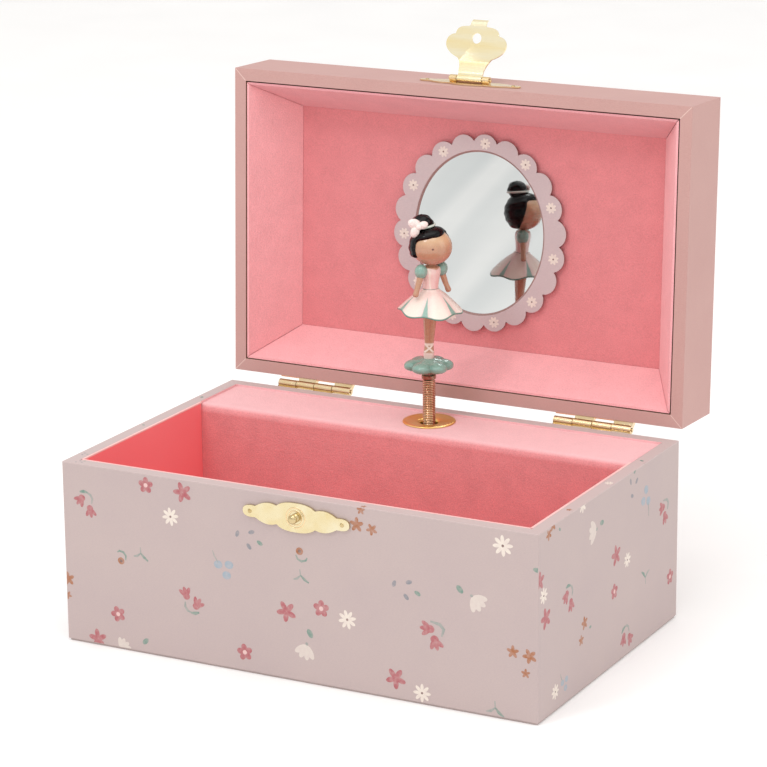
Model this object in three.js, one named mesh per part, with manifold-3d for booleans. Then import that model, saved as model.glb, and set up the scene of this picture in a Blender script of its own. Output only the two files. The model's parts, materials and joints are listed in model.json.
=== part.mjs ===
// Ballerina jewellery box: a paper-covered fibreboard box with a hinged lid, a velvet compartment,
// a mirror in the lid, and a small dancer on a coil spring that an 18-note movement turns.
// Millimetres, +Z up, +Y to the back, origin at the middle of the underside. The lid stands open.
import * as THREE from 'three';
import { mergeVertices } from 'three/addons/utils/BufferGeometryUtils.js';
import Module from 'manifold-3d';

const wasm = await Module();
wasm.setup();

// ---------------------------------------------------------------- driving dimensions
const WIDTH = 180;
const DEPTH = 115;
const BASE_HEIGHT = 65;
const LID_HEIGHT = 25.5;
const LID_SETBACK = 1.8; // the lid's front stands this far behind the base's front
const LID_GAP = 0.3; // between the two rims when the lid is shut
const LID_OPEN_DEGREES = 92.3;

const BOARD = 4; // fibreboard walls
const THIN_BOARD = 2.3; // partition and deck
const BOTTOM_BOARD = 3;
const PAPER = 0.4; // printed covering paper
const LINING = 0.8; // card with coral paper or velvet
const VELVET = 0.6;
const GLUE = 0.1; // the bond line between two glued pieces
const LID_GLUE = 0.15;

const DECK_DEPTH = 26.8; // from the back wall to the front face of the partition
const DECK_TOP = BASE_HEIGHT - 0.8;
const DECK_EDGE_RADIUS = 3; // the soft front edge of the deck

const PIVOT_BEHIND = 2.8; // the hinge pins stand this far behind the back wall
const PIVOT_HEIGHT = BASE_HEIGHT + 0.6;
const HINGE_LENGTH = 30;
const HINGE_OFFSET = 56; // from the middle of the box to the middle of a hinge
const HINGE_KNUCKLES = 4;
const HINGE_GAP = 0.25;
const HINGE_RADIUS = 1.5;
const HINGE_PIN_RADIUS = 0.6;
const LEAF = 0.6;
const LEAF_HEIGHT = 11;

const TRAY_DEPTH = 20; // from the lid's rim to its velvet panel
const TRAY_CLEARANCE = 0.4; // the dark line between the tray and the rim
const TRAY_SIDE_SPLAY = 11.8;
const TRAY_END_SPLAY = 9.5;

const MIRROR_FRAME = { halfWidth: 34.6, halfHeight: 36.4, scallops: 22, scallopRise: 2.7 };
const MIRROR_OPENING = { halfWidth: 26, halfHeight: 30.4 };
const MIRROR_GLASS = { halfWidth: 27.4, halfHeight: 31.6, thickness: 1 };
const MIRROR_CARD = 0.6;
const MIRROR_RIGHT = 1.3; // it is glued in by hand, a little off the lid's centre and askew
const MIRROR_UP = 0.9;
const MIRROR_TURN_DEGREES = 3.4;

const CLASP_X = 2;
const KNOB_DROP = 6.9; // the knob's centre below the base's rim
const HASP_AXIS_RISE = 7.5; // the hasp's hinge above the lid's rim
const HASP_AXIS_STAND_OFF = 1.75; // the hasp's hinge in front of the lid
const HASP_LENGTH = 21.5;
const HASP_REST_DEGREES = -104; // it leans back a little from straight out

const SPINDLE_Y = DEPTH / 2 - 14.7;
const SPRING_RADIUS = 2.35;
const SPRING_BORE = 1.75;
const SPRING_BOTTOM = 60;
const SPRING_TOP = 80.2;
const FIGURE_BASE = 82;
const FIGURE_TURN_DEGREES = 30;
const FIGURE_LEAN_DEGREES = 1.8;
const BODY_TURN_DEGREES = 36; // the shoulders, from the way the head faces

// ---------------------------------------------------------------- derived planes
const HALF_WIDTH = WIDTH / 2;
const FRONT = -DEPTH / 2;
const BACK = DEPTH / 2;
const SKIN = PAPER + GLUE; // from an outer face to the board under it
const WALL = SKIN + BOARD;
const INNER_X = HALF_WIDTH - WALL;
const INNER_FRONT = FRONT + WALL;
const INNER_BACK = BACK - WALL;
const UNDERSIDE = 0.6;
const BOTTOM_TOP = UNDERSIDE + GLUE + BOTTOM_BOARD;
const PARTITION_FRONT = INNER_BACK - DECK_DEPTH;
const DECK_BOARD_TOP = DECK_TOP - VELVET - GLUE;
const DECK_BOARD_BOTTOM = DECK_BOARD_TOP - THIN_BOARD;
const PIVOT_Y = BACK + PIVOT_BEHIND;

// ---------------------------------------------------------------- materials
function finish(color, roughness, metalness = 0) {
  return new THREE.MeshStandardMaterial({ color, roughness, metalness });
}
const printedPaper = finish(0xccb7b2, 0.75);
const lidPaper = finish(0xcba09a, 0.7);
const fibreboard = finish(0xb08d6a, 0.85);
const coralPaper = finish(0xee5f69, 0.6);
const velvet = finish(0xd76e73, 0.95);
const paleVelvet = finish(0xf2a9ad, 0.95);
const brass = finish(0xe6cf86, 0.3, 0.9);
const gold = finish(0xd09a3a, 0.3, 0.9);
const copper = finish(0x9a6a4c, 0.35, 0.9);
const steel = finish(0xb8b8ba, 0.35, 0.9);
const mirrorSilver = finish(0xdde1e1, 0.08, 0.9);
const frameCard = finish(0xc4aaac, 0.7);
const greenResin = finish(0x7fa597, 0.3);
const paleResin = finish(0xf4ded6, 0.3);
const skinResin = finish(0xb98c73, 0.3);
const hairResin = finish(0x1c1416, 0.2);

// ---------------------------------------------------------------- shape helpers
const X_AXIS = new THREE.Vector3(1, 0, 0);
const Y_AXIS = new THREE.Vector3(0, 1, 0);
const Z_AXIS = new THREE.Vector3(0, 0, 1);
// Stands a drawing of (y, z) up, and extrudes it along +X.
const ALONG_X = new THREE.Matrix4().makeBasis(Y_AXIS, Z_AXIS, X_AXIS);

function slab(x0, x1, y0, y1, z0, z1) {
  const geometry = new THREE.BoxGeometry(x1 - x0, y1 - y0, z1 - z0);
  return geometry.translate((x0 + x1) / 2, (y0 + y1) / 2, (z0 + z1) / 2);
}

// A round bar along Z.
function bar(radius, z0, z1, sides = 24) {
  const geometry = new THREE.CylinderGeometry(radius, radius, z1 - z0, sides);
  return geometry.rotateX(Math.PI / 2).translate(0, 0, (z0 + z1) / 2);
}

// A round bar along Y.
function barAlongY(radius, y0, y1, sides = 24) {
  const geometry = new THREE.CylinderGeometry(radius, radius, y1 - y0, sides);
  return geometry.translate(0, (y0 + y1) / 2, 0);
}

// A round bar along X.
function barAlongX(radius, x0, x1, sides = 20) {
  const geometry = new THREE.CylinderGeometry(radius, radius, x1 - x0, sides);
  return geometry.rotateZ(Math.PI / 2).translate((x0 + x1) / 2, 0, 0);
}

// Turns a profile of [radius, z] pairs, drawn counter-clockwise, about Z.
function turned(profile, sides = 32) {
  const points = profile.map(([radius, z]) => new THREE.Vector2(radius, z));
  return new THREE.LatheGeometry(points, sides).rotateX(Math.PI / 2);
}

function ellipsoid(rx, ry, rz, x, y, z, sides = 16, rows = 10) {
  const geometry = new THREE.SphereGeometry(1, sides, rows).rotateX(Math.PI / 2);
  return geometry.scale(rx, ry, rz).translate(x, y, z);
}

function extruded(shape, depth, curveSegments = 6) {
  return new THREE.ExtrudeGeometry(shape, { depth, bevelEnabled: false, curveSegments });
}

// A plate drawn in (x, z), its back at y and its thickness towards -Y.
function frontPlate(shape, y, thickness, curveSegments) {
  return extruded(shape, thickness, curveSegments).rotateX(Math.PI / 2).translate(0, y, 0);
}

function polygon(points) {
  return new THREE.Shape(points.map(([a, b]) => new THREE.Vector2(a, b)));
}

function roundHole(x, y, radius) {
  const hole = new THREE.Path();
  hole.absarc(x, y, radius, 0, Math.PI * 2, true);
  return hole;
}

function solid(geometry) {
  const bare = geometry.clone();
  bare.deleteAttribute('normal');
  bare.deleteAttribute('uv');
  const merged = mergeVertices(bare, 1e-4);
  const corners = merged.index.array;
  const kept = [];
  for (let i = 0; i < corners.length; i += 3) {
    const [a, b, c] = corners.slice(i, i + 3);
    if (a !== b && b !== c && c !== a) {
      kept.push(a, b, c);
    }
  }
  const vertProperties = merged.attributes.position.array;
  const triVerts = new Uint32Array(kept);
  return new wasm.Manifold(new wasm.Mesh({ numProp: 3, vertProperties, triVerts }));
}

function geometryOf(manifold) {
  const mesh = manifold.getMesh();
  const geometry = new THREE.BufferGeometry();
  geometry.setAttribute('position', new THREE.BufferAttribute(mesh.vertProperties, 3));
  geometry.setIndex(new THREE.BufferAttribute(mesh.triVerts, 1));
  geometry.computeVertexNormals();
  return geometry;
}

function joined(...geometries) {
  return geometries.map(solid).reduce((whole, piece) => whole.add(piece));
}

function cut(geometry, ...tools) {
  const start = geometry instanceof THREE.BufferGeometry ? solid(geometry) : geometry;
  return geometryOf(tools.map(solid).reduce((whole, tool) => whole.subtract(tool), start));
}

function add(group, name, geometry, material) {
  const mesh = new THREE.Mesh(geometry, material);
  mesh.name = name;
  group.add(mesh);
  return mesh;
}

// A gear blank's outline with short trapezoid teeth between the root and tip radii.
function gearOutline(teeth, tip, root) {
  const points = [];
  for (let tooth = 0; tooth < teeth; tooth += 1) {
    for (const [step, radius] of [[0, root], [0.3, tip], [0.5, tip], [0.8, root]]) {
      const angle = ((tooth + step) / teeth) * Math.PI * 2;
      points.push([radius * Math.cos(angle), radius * Math.sin(angle)]);
    }
  }
  return polygon(points);
}

// ---------------------------------------------------------------- base: carcase and covering
const KEY_X = 0;
const KEY_Z = 17.5;
const KEY_HOLE = 3.4;

const box = new THREE.Group();

function keyHoleTool(radius) {
  return barAlongY(radius, INNER_BACK - 5, BACK + 5).translate(KEY_X, 0, KEY_Z);
}

function addCarcase(group) {
  const outerX = HALF_WIDTH - SKIN;
  const low = UNDERSIDE + GLUE;
  const high = BASE_HEIGHT - SKIN;
  const frontBoard = slab(-outerX, outerX, FRONT + SKIN, INNER_FRONT, low, high);
  add(group, 'base_front_board', frontBoard, fibreboard);
  const backBoard = slab(-outerX, outerX, INNER_BACK, BACK - SKIN, low, high);
  add(group, 'base_back_board', cut(backBoard, keyHoleTool(KEY_HOLE)), fibreboard);
  for (const [name, side] of [['base_left_board', -1], ['base_right_board', 1]]) {
    const sideBoard = slab(-BOARD / 2, BOARD / 2, INNER_FRONT + GLUE, INNER_BACK - GLUE, low, high);
    sideBoard.translate(side * (INNER_X + BOARD / 2), 0, 0);
    add(group, name, sideBoard, fibreboard);
  }
  const bottomX = INNER_X - GLUE;
  const bottomY = INNER_BACK - GLUE;
  const bottomBoard = slab(-bottomX, bottomX, -bottomY, bottomY, low, BOTTOM_TOP);
  add(group, 'base_bottom_board', bottomBoard, fibreboard);
  const underside = slab(-HALF_WIDTH + 0.6, HALF_WIDTH - 0.6, FRONT + 0.6, BACK - 0.6, 0, UNDERSIDE);
  add(group, 'underside_paper', underside, fibreboard);
}

// The printed paper goes round the walls and is turned in over the rim.
function addBasePaper(group) {
  const low = UNDERSIDE + GLUE;
  const paper = slab(-HALF_WIDTH, HALF_WIDTH, FRONT, BACK, low, BASE_HEIGHT);
  const boards = slab(
    -HALF_WIDTH + PAPER, HALF_WIDTH - PAPER, FRONT + PAPER, BACK - PAPER, 0, BASE_HEIGHT - PAPER,
  );
  const mouth = slab(-INNER_X, INNER_X, INNER_FRONT, INNER_BACK, 0, BASE_HEIGHT + 1);
  const wrap = cut(paper, boards, mouth, keyHoleTool(KEY_HOLE));
  add(group, 'base_paper_wrap', wrap, printedPaper);
}

// ---------------------------------------------------------------- base: compartment and deck
const FLOOR_LINING_TOP = BOTTOM_TOP + GLUE + 1;

function addCompartment(group) {
  const low = FLOOR_LINING_TOP + GLUE;
  const high = BASE_HEIGHT - 0.5;
  const backEnd = PARTITION_FRONT - GLUE;
  const sideX = INNER_X - GLUE;
  const floor = slab(-sideX, sideX, INNER_FRONT + GLUE, backEnd, BOTTOM_TOP + GLUE, FLOOR_LINING_TOP);
  add(group, 'floor_lining', floor, velvet);
  const front = slab(-sideX, sideX, INNER_FRONT + GLUE, INNER_FRONT + GLUE + LINING, low, high);
  add(group, 'lining_front', front, coralPaper);
  for (const [name, side] of [['lining_left', -1], ['lining_right', 1]]) {
    const start = INNER_FRONT + GLUE + LINING + GLUE;
    const lining = slab(-LINING / 2, LINING / 2, start, backEnd, low, high);
    lining.translate(side * (sideX - LINING / 2), 0, 0);
    add(group, name, lining, coralPaper);
  }
}

// A drawing of (y, z): the deck with its rounded front edge, and the front of the partition.
function foldedEdge(faceY, topY, faceZ, top, radius) {
  const shape = new THREE.Shape();
  shape.moveTo(faceY, faceZ);
  shape.lineTo(topY, faceZ);
  shape.lineTo(topY, top);
  shape.lineTo(faceY + radius, top);
  shape.absarc(faceY + radius, top - radius, radius, Math.PI / 2, Math.PI, false);
  return shape;
}

function acrossBox(shape, halfLength) {
  const geometry = extruded(shape, halfLength * 2, 5).applyMatrix4(ALONG_X);
  return geometry.translate(-halfLength, 0, 0);
}

function addDeck(group) {
  const boardFront = PARTITION_FRONT + VELVET + GLUE;
  const boardX = INNER_X - GLUE;
  const partition = slab(
    -boardX, boardX, boardFront, boardFront + THIN_BOARD, BOTTOM_TOP + GLUE, DECK_BOARD_BOTTOM - GLUE,
  );
  add(group, 'partition_board', partition, fibreboard);
  const boardRadius = DECK_EDGE_RADIUS - VELVET - GLUE;
  const backEdge = INNER_BACK - GLUE;
  const deckShape = foldedEdge(boardFront, backEdge, DECK_BOARD_BOTTOM, DECK_BOARD_TOP, boardRadius);
  const spindleHole = bar(5.4, DECK_BOARD_BOTTOM - 5, DECK_TOP + 5).translate(0, SPINDLE_Y, 0);
  add(group, 'deck_board', cut(acrossBox(deckShape, boardX), spindleHole), fibreboard);
  const outer = foldedEdge(PARTITION_FRONT, backEdge, BOTTOM_TOP + GLUE, DECK_TOP, DECK_EDGE_RADIUS);
  const innerTop = DECK_TOP - VELVET;
  const innerRadius = DECK_EDGE_RADIUS - VELVET;
  const inner = foldedEdge(PARTITION_FRONT + VELVET, backEdge + 5, 0, innerTop, innerRadius);
  const cover = cut(acrossBox(outer, boardX), acrossBox(inner, boardX + 5), spindleHole);
  add(group, 'velvet_cover', cover, paleVelvet);
}

// A dished brass ring that lines the hole the spring comes up through.
function addEscutcheon(group) {
  const seat = DECK_TOP + GLUE;
  const ring = turned([
    [4.1, seat - 2.4], [4.7, seat - 2.4], [4.7, seat], [9.5, seat], [9.5, seat + 0.2],
    [9, seat + 0.65], [8.2, seat + 0.65], [6.2, seat + 0.25],
    [4.2, seat - 0.1], [4.1, seat - 2.4],
  ], 28);
  add(group, 'escutcheon_ring', ring.translate(0, SPINDLE_Y, 0), gold);
}

// ---------------------------------------------------------------- clasp
// One quadrant of a clasp plate's outline, from its tip to the middle of its long edge,
// as fractions of the half length and half height: each lobe's end and the point it bulges to.
const PLATE_TIP = [1, 0];
const PLATE_LOBES = [
  { bulge: [1, 0.5], end: [0.76, 0.4] },
  { bulge: [0.56, 0.94], end: [0.36, 0.64] },
  { bulge: [0.26, 1.02], end: [0, 1] },
];
const CLASP_PLATE = 0.8;
const NAIL_HOLE = 0.6;

function claspOutline(halfLength, halfHeight) {
  const shape = new THREE.Shape();
  const at = ([u, h], sideX, sideY) => [sideX * u * halfLength, sideY * h * halfHeight];
  shape.moveTo(...at(PLATE_TIP, 1, 0));
  for (const [sideX, sideY, outward] of [[1, 1, false], [-1, 1, true], [-1, -1, false], [1, -1, true]]) {
    const ends = [PLATE_TIP, ...PLATE_LOBES.map((lobe) => lobe.end)];
    const order = outward ? [2, 1, 0] : [0, 1, 2];
    for (const lobe of order) {
      const target = outward ? ends[lobe] : ends[lobe + 1];
      const bulge = at(PLATE_LOBES[lobe].bulge, sideX, sideY);
      shape.quadraticCurveTo(...bulge, ...at(target, sideX, sideY));
    }
  }
  for (const side of [-1, 1]) {
    shape.holes.push(roundHole(side * 0.86 * halfLength, 0, NAIL_HOLE));
  }
  return shape;
}

function addClasp(group) {
  const knobZ = BASE_HEIGHT - KNOB_DROP;
  const plate = frontPlate(claspOutline(20.2, 5.1), FRONT - GLUE, CLASP_PLATE, 5);
  add(group, 'clasp_plate', plate.translate(CLASP_X, 0, knobZ), brass);
  const start = CLASP_PLATE + GLUE + 0.1;
  const knob = turned([
    [0, start], [1.5, start], [1.5, start + 0.4], [1.05, start + 0.7], [1.05, start + 1.2],
    [1.5, start + 1.6], [1.6, start + 2.1], [1.2, start + 2.7], [0, start + 3],
  ], 16);
  add(group, 'clasp_knob', knob.rotateX(Math.PI / 2).translate(CLASP_X, FRONT, knobZ), brass);
}

// ---------------------------------------------------------------- hinges
// Both leaves are drawn about the pin: side -1 hangs on the base's back, side 1 on the lid's back.
function hingeLeaf(middleX, side, firstKnuckle) {
  const start = middleX - HINGE_LENGTH / 2;
  const pitch = HINGE_LENGTH / HINGE_KNUCKLES;
  const faceY = -PIVOT_BEHIND + GLUE;
  const near = 1.1;
  const shape = polygon([
    [faceY, -near], [faceY, -near - 2.4], [faceY + LEAF, -near - 2.4], [-0.2, -1.4], [-1.2, -0.6],
  ]);
  const plate = slab(start, start + HINGE_LENGTH, faceY, faceY + LEAF, -LEAF_HEIGHT, -near);
  let leaf = solid(plate);
  for (let knuckle = firstKnuckle; knuckle < HINGE_KNUCKLES; knuckle += 2) {
    const x0 = start + knuckle * pitch + HINGE_GAP / 2;
    const x1 = x0 + pitch - HINGE_GAP;
    const web = extruded(shape, x1 - x0).applyMatrix4(ALONG_X).translate(x0, 0, 0);
    leaf = leaf.add(solid(web)).add(solid(barAlongX(HINGE_RADIUS, x0, x1)));
  }
  const bore = barAlongX(HINGE_PIN_RADIUS + 0.15, start - 1, start + HINGE_LENGTH + 1, 16);
  const geometry = cut(leaf, bore);
  if (side > 0) {
    // Turned half a turn about Y, so that it rises from the pin, and the knuckles swap places.
    geometry.rotateY(Math.PI).translate(2 * middleX, 0, 0);
  }
  return geometry;
}

const HINGES = [['left', -HINGE_OFFSET], ['right', HINGE_OFFSET]];

function addBaseHinges(group) {
  for (const [name, x] of HINGES) {
    const leaf = hingeLeaf(x, -1, 0).translate(0, PIVOT_Y, PIVOT_HEIGHT);
    add(group, `hinge_${name}_base_leaf`, leaf, brass);
    const half = HINGE_LENGTH / 2 + 0.3;
    const pin = barAlongX(HINGE_PIN_RADIUS, x - half, x + half, 12);
    add(group, `hinge_${name}_pin`, pin.translate(0, PIVOT_Y, PIVOT_HEIGHT), brass);
  }
}

// ---------------------------------------------------------------- movement, behind the partition
// The barrel lies below the upright cylinder, so that its rim meets the cylinder's lower pinion
// in front of the arbor, and the winding key goes straight back through the wall.
const CYLINDER_RADIUS = 6.5;
const CYLINDER_LOW = 34.6;
const CYLINDER_HIGH = 54.6;
const PINION_TIP = 3.8;
const BARREL_RADIUS = 9.8;
const BARREL_RIM = 12;
const IDLER_X = 10.8;
const GOVERNOR_X = 19.2;
const GOVERNOR_Z = 29.95;
const BED_FACE = INNER_BACK - 1.7;
const BED = 1.4;
const PIVOT_HOLE = 0.3; // every arbor has this much room in its bearing

function addMovementFrame(group) {
  const toBed = BED_FACE + 0.2;
  const bed = joined(
    slab(-18, 28, BED_FACE, BED_FACE + BED, 5, 58),
    slab(17, 25, 43.2, toBed, CYLINDER_LOW + 0.4, CYLINDER_HIGH), // the block under the comb
    slab(-4, 4, 40, toBed, 55.6, 57), // upper bearing
    slab(-4, 14, 39, toBed, 31, 32.2), // lower bearing
    slab(8.4, 13.2, 40.8, toBed, 27.6, 28.6), // idler's foot bearing
  );
  const drilled = cut(
    bed,
    bar(1.5 + PIVOT_HOLE, 30, 60, 16).translate(0, SPINDLE_Y, 0),
    bar(0.7 + PIVOT_HOLE, 25, 35, 12).translate(IDLER_X, SPINDLE_Y, 0),
    barAlongY(2.4, BED_FACE - 1, BED_FACE + 3).translate(KEY_X, 0, KEY_Z),
  );
  add(group, 'movement_bedplate', drilled, gold);
  const low = GOVERNOR_Z - 1.25;
  const high = GOVERNOR_Z + 1.25;
  const governor = joined(
    slab(15.5, 24.5, BED_FACE - 1.3, BED_FACE - 0.2, GOVERNOR_Z - 6.5, GOVERNOR_Z + 4.5),
    slab(22.6, 24.4, 38.2, BED_FACE - 1.2, low, high),
    slab(17.4, 24.4, 38.2, 39.4, low, high),
  );
  const pivots = barAlongY(0.7 + PIVOT_HOLE, 30, BED_FACE, 12).translate(GOVERNOR_X, 0, GOVERNOR_Z);
  add(group, 'governor_frame', cut(governor, pivots), gold);
}

// Eighteen steel teeth that the pins of the cylinder pluck.
function addComb(group) {
  const teeth = 18;
  const pitch = 1;
  const toothWidth = 0.7;
  const tip = CYLINDER_RADIUS + 0.5;
  const root = 17;
  const back = 24.8;
  const low = CYLINDER_LOW + 1.15;
  const high = CYLINDER_HIGH - 0.3;
  const points = [[back, low - 0.35], [back, high], [root, high]];
  for (let tooth = teeth - 1; tooth >= 0; tooth -= 1) {
    const z = low + tooth * pitch;
    points.push([root, z + toothWidth], [tip, z + toothWidth], [tip, z], [root, z]);
  }
  points.push([root, low - 0.35]);
  add(group, 'movement_comb', frontPlate(polygon(points), 43.1, 1.1), steel);
}

// The pinned cylinder: its arbor goes up through the deck and drives the spring.
function addCylinder(group) {
  const arbor = turned([
    [0, 27.8], [1.5, 27.8], [1.5, CYLINDER_LOW], [CYLINDER_RADIUS, CYLINDER_LOW],
    [CYLINDER_RADIUS, CYLINDER_HIGH], [1.5, CYLINDER_HIGH], [1.5, 58.6], [2.3, 58.6], [2.3, 59.8],
    [1.45, 59.8], [1.45, 66.5], [0, 67],
  ], 20);
  const wheel = extruded(gearOutline(40, 8, 7.3), 1.6).translate(0, 0, 32.7);
  const pinion = extruded(gearOutline(12, PINION_TIP, 3.1), 2.4).translate(0, 0, 27.9);
  const cylinder = geometryOf(joined(arbor, wheel, pinion));
  add(group, 'music_cylinder', cylinder.translate(0, SPINDLE_Y, 0), gold);
}

// The mainspring's barrel, its toothed rim against the front of the cylinder's pinion.
function addBarrel(group) {
  const rimBack = SPINDLE_Y - PINION_TIP - 0.2;
  const wheel = frontPlate(gearOutline(38, BARREL_RIM, 11.3), rimBack, 1.4);
  const drum = barAlongY(BARREL_RADIUS, rimBack - 0.1, BED_FACE - 0.6, 32);
  const bore = barAlongY(1.6 + PIVOT_HOLE, 30, 60, 16);
  const barrel = cut(joined(wheel, drum), bore);
  add(group, 'spring_barrel', barrel.translate(KEY_X, 0, KEY_Z), gold);
}

function addIdler(group) {
  const arbor = bar(0.7, 27.3, 35, 12);
  const pinion = extruded(gearOutline(12, 2.5, 1.9), 2).translate(0, 0, 32.5);
  const wheel = extruded(gearOutline(24, 6.5, 5.8), 1.5).translate(0, 0, GOVERNOR_Z - 0.75);
  const idler = geometryOf(joined(arbor, pinion, wheel));
  add(group, 'idler_wheel', idler.translate(IDLER_X, SPINDLE_Y, 0), gold);
}

// The governor: a worm that the idler spins, and the air-brake fly on its end.
function addGovernor(group) {
  const governor = joined(
    barAlongY(0.7, 31, BED_FACE - 0.4, 12),
    barAlongY(1.5, 40.2, 48.6, 12),
    barAlongY(2.4, 37, 37.7, 20),
    slab(-5.5, 5.5, 31.4, 36.6, -0.3, 0.3),
    slab(-0.3, 0.3, 31.4, 36.6, -5.5, 5.5),
  );
  const placed = geometryOf(governor).translate(GOVERNOR_X, 0, GOVERNOR_Z);
  add(group, 'governor_fly', placed, steel);
}

// A wire along hand-placed points.
function wire(points, radius, steps) {
  const curve = new THREE.CatmullRomCurve3(points.map((p) => new THREE.Vector3(...p)), false, 'centripetal');
  const section = new THREE.Shape();
  section.absarc(0, 0, radius, 0, Math.PI * 2, false);
  return new THREE.ExtrudeGeometry(section, { steps, curveSegments: 2, extrudePath: curve });
}

// The stop lever hangs on a pivot beside the comb, and its foot brakes the fly's disc.
function addStopLever(group) {
  const lever = wire([
    [29.4, 47, 50.7], [27.4, 47, 41.7], [27.2, 44, 40.7], [27.2, 39, 40.7], [26.8, 37.4, 39.2],
    [24, 37.4, 30.3],
  ], 0.45, 20);
  add(group, 'stop_lever', lever, steel);
}

function addWindingKey(group) {
  const arbor = barAlongY(1.6, 38.6, BACK + 4.5, 16).translate(KEY_X, 0, KEY_Z);
  add(group, 'winding_arbor', arbor, steel);
  const wings = new THREE.Shape();
  const wingY = BACK + 14.5;
  wings.moveTo(-2, wingY - 6);
  wings.lineTo(2, wingY - 6);
  wings.quadraticCurveTo(12.5, wingY - 8, 12.5, wingY);
  wings.quadraticCurveTo(12.5, wingY + 7.5, 2, wingY + 3.4);
  wings.lineTo(-2, wingY + 3.4);
  wings.quadraticCurveTo(-12.5, wingY + 7.5, -12.5, wingY);
  wings.quadraticCurveTo(-12.5, wingY - 8, -2, wingY - 6);
  wings.holes.push(roundHole(-6.6, wingY - 0.6, 2.3), roundHole(6.6, wingY - 0.6, 2.3));
  const plate = extruded(wings, 1.6, 7).translate(0, 0, -0.8);
  const sleeve = barAlongY(2.8, BACK + 1.6, wingY - 2, 20);
  const bore = barAlongY(1.8, BACK, BACK + 5.5, 16);
  const key = cut(joined(plate, sleeve), bore);
  add(group, 'winding_key', key.translate(KEY_X, 0, KEY_Z), brass);
}

function addKeyCollar(group) {
  const collar = turned([
    [3.2, 0.1], [6, 0.1], [6, 0.5], [5.3, 1], [3.2, 1], [3.2, 0.1],
  ], 24);
  add(group, 'key_collar', collar.rotateX(-Math.PI / 2).translate(KEY_X, BACK, KEY_Z), brass);
}

// ---------------------------------------------------------------- spring and dancer
function addSpring(group) {
  const spring = turned([
    [SPRING_BORE, SPRING_BOTTOM], [SPRING_RADIUS, SPRING_BOTTOM], [SPRING_RADIUS, SPRING_TOP],
    [SPRING_BORE, SPRING_TOP], [SPRING_BORE, SPRING_BOTTOM],
  ], 20);
  add(group, 'coil_spring', spring.translate(0, SPINDLE_Y, 0), copper);
  const cup = turned([
    [0, SPRING_TOP - 2.6], [1.4, SPRING_TOP - 2.6], [1.4, SPRING_TOP + 0.1], [2.6, SPRING_TOP + 0.1],
    [2.6, FIGURE_BASE - 0.5], [2.2, FIGURE_BASE - 0.15], [0, FIGURE_BASE - 0.15],
  ], 20);
  add(group, 'spring_top_cup', cup.translate(0, SPINDLE_Y, 0), copper);
}

// The dancer is drawn about its own axis, facing -Y, and then turned with its group.
const HEAD = { x: 0, y: -0.2, z: 128.2, rx: 7.2, ry: 6.5, rz: 6.5 };
const FOOT = FIGURE_BASE + 5.8; // the toes, and the height that the figure leans from
const RESIN_GAP = 0.25; // between the dancer's separately coloured pieces

function flowerBase() {
  const lobes = 6;
  const pieces = [turned([
    [0, FIGURE_BASE + 0.1], [3.4, FIGURE_BASE + 0.2], [5.2, FIGURE_BASE + 2.2], [4.6, FIGURE_BASE + 4.4],
    [2.4, FIGURE_BASE + 5.4], [0, FIGURE_BASE + 5.5],
  ], 18)];
  for (let lobe = 0; lobe < lobes; lobe += 1) {
    const petal = ellipsoid(3.9, 3, 1.9, 5, 0, FIGURE_BASE + 3, 10, 6);
    pieces.push(petal.rotateZ((lobe / lobes) * Math.PI * 2));
  }
  return geometryOf(joined(...pieces));
}

function dancerArm(side) {
  return wire([
    [side * 4.4, 0, 119.8], [side * 5.4, -0.2, 117], [side * 6.4, -0.5, 114.4], [side * 7.8, -0.8, 111.4],
  ], 1.05, 6);
}

function dancerBody() {
  const legs = turned([
    [0, FOOT], [1.3, FOOT], [1.8, FOOT + 1.3], [1.7, FOOT + 3], [1.5, FOOT + 4.4], [2, FOOT + 8.6],
    [2.2, FOOT + 11.5], [2.6, FOOT + 17], [2.8, FOOT + 21], [0, FOOT + 21],
  ], 14);
  const skirt = turned([
    [0, 106.8], [2.4, 106.8], [9.6, 105.3], [11.1, 104.7], [11.3, 105.2], [9.4, 108.2], [6.2, 111.2],
    [3.1, 113], [0, 113],
  ], 24);
  const bodice = turned([
    [0, 112.5], [3, 112.5], [3.2, 115], [3.8, 118.8], [3.3, 120.8], [1.6, 121.3], [0, 121.3],
  ], 14).scale(1, 0.8, 1);
  const upper = [bodice];
  for (const side of [-1, 1]) {
    upper.push(dancerArm(side));
    upper.push(ellipsoid(2.2, 2.2, 2.4, side * 4.6, 0, 119.8, 10, 6));
  }
  const turn = THREE.MathUtils.degToRad(BODY_TURN_DEGREES);
  return geometryOf(joined(legs, skirt, ...upper.map((piece) => piece.rotateZ(turn))));
}

function dancerHead(margin = 0) {
  return ellipsoid(HEAD.rx + margin, HEAD.ry + margin, HEAD.rz + margin, HEAD.x, HEAD.y, HEAD.z);
}

// A cap of hair round the back and top of the head, with a bun on it.
function dancerHair(margin = 0) {
  const cap = ellipsoid(7.7 + margin, 6.7 + margin, 6.7 + margin, -0.6, 1.5, 129, 16, 10);
  const bun = ellipsoid(4 + margin, 3.6 + margin, 3.4 + margin, -3.5, 1.2, 136, 12, 8);
  return joined(cap, bun);
}

function dancerBow() {
  const bow = joined(
    ellipsoid(2.1, 1.3, 1.4, -6.4, -2.3, 136.6, 10, 6),
    ellipsoid(1.6, 1.2, 1.1, -3.8, -3.2, 136.3, 8, 6),
    ellipsoid(1.3, 1.2, 2, -6.2, -3.1, 134.3, 8, 6),
  );
  return geometryOf(bow.subtract(dancerHair(RESIN_GAP)));
}

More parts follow.
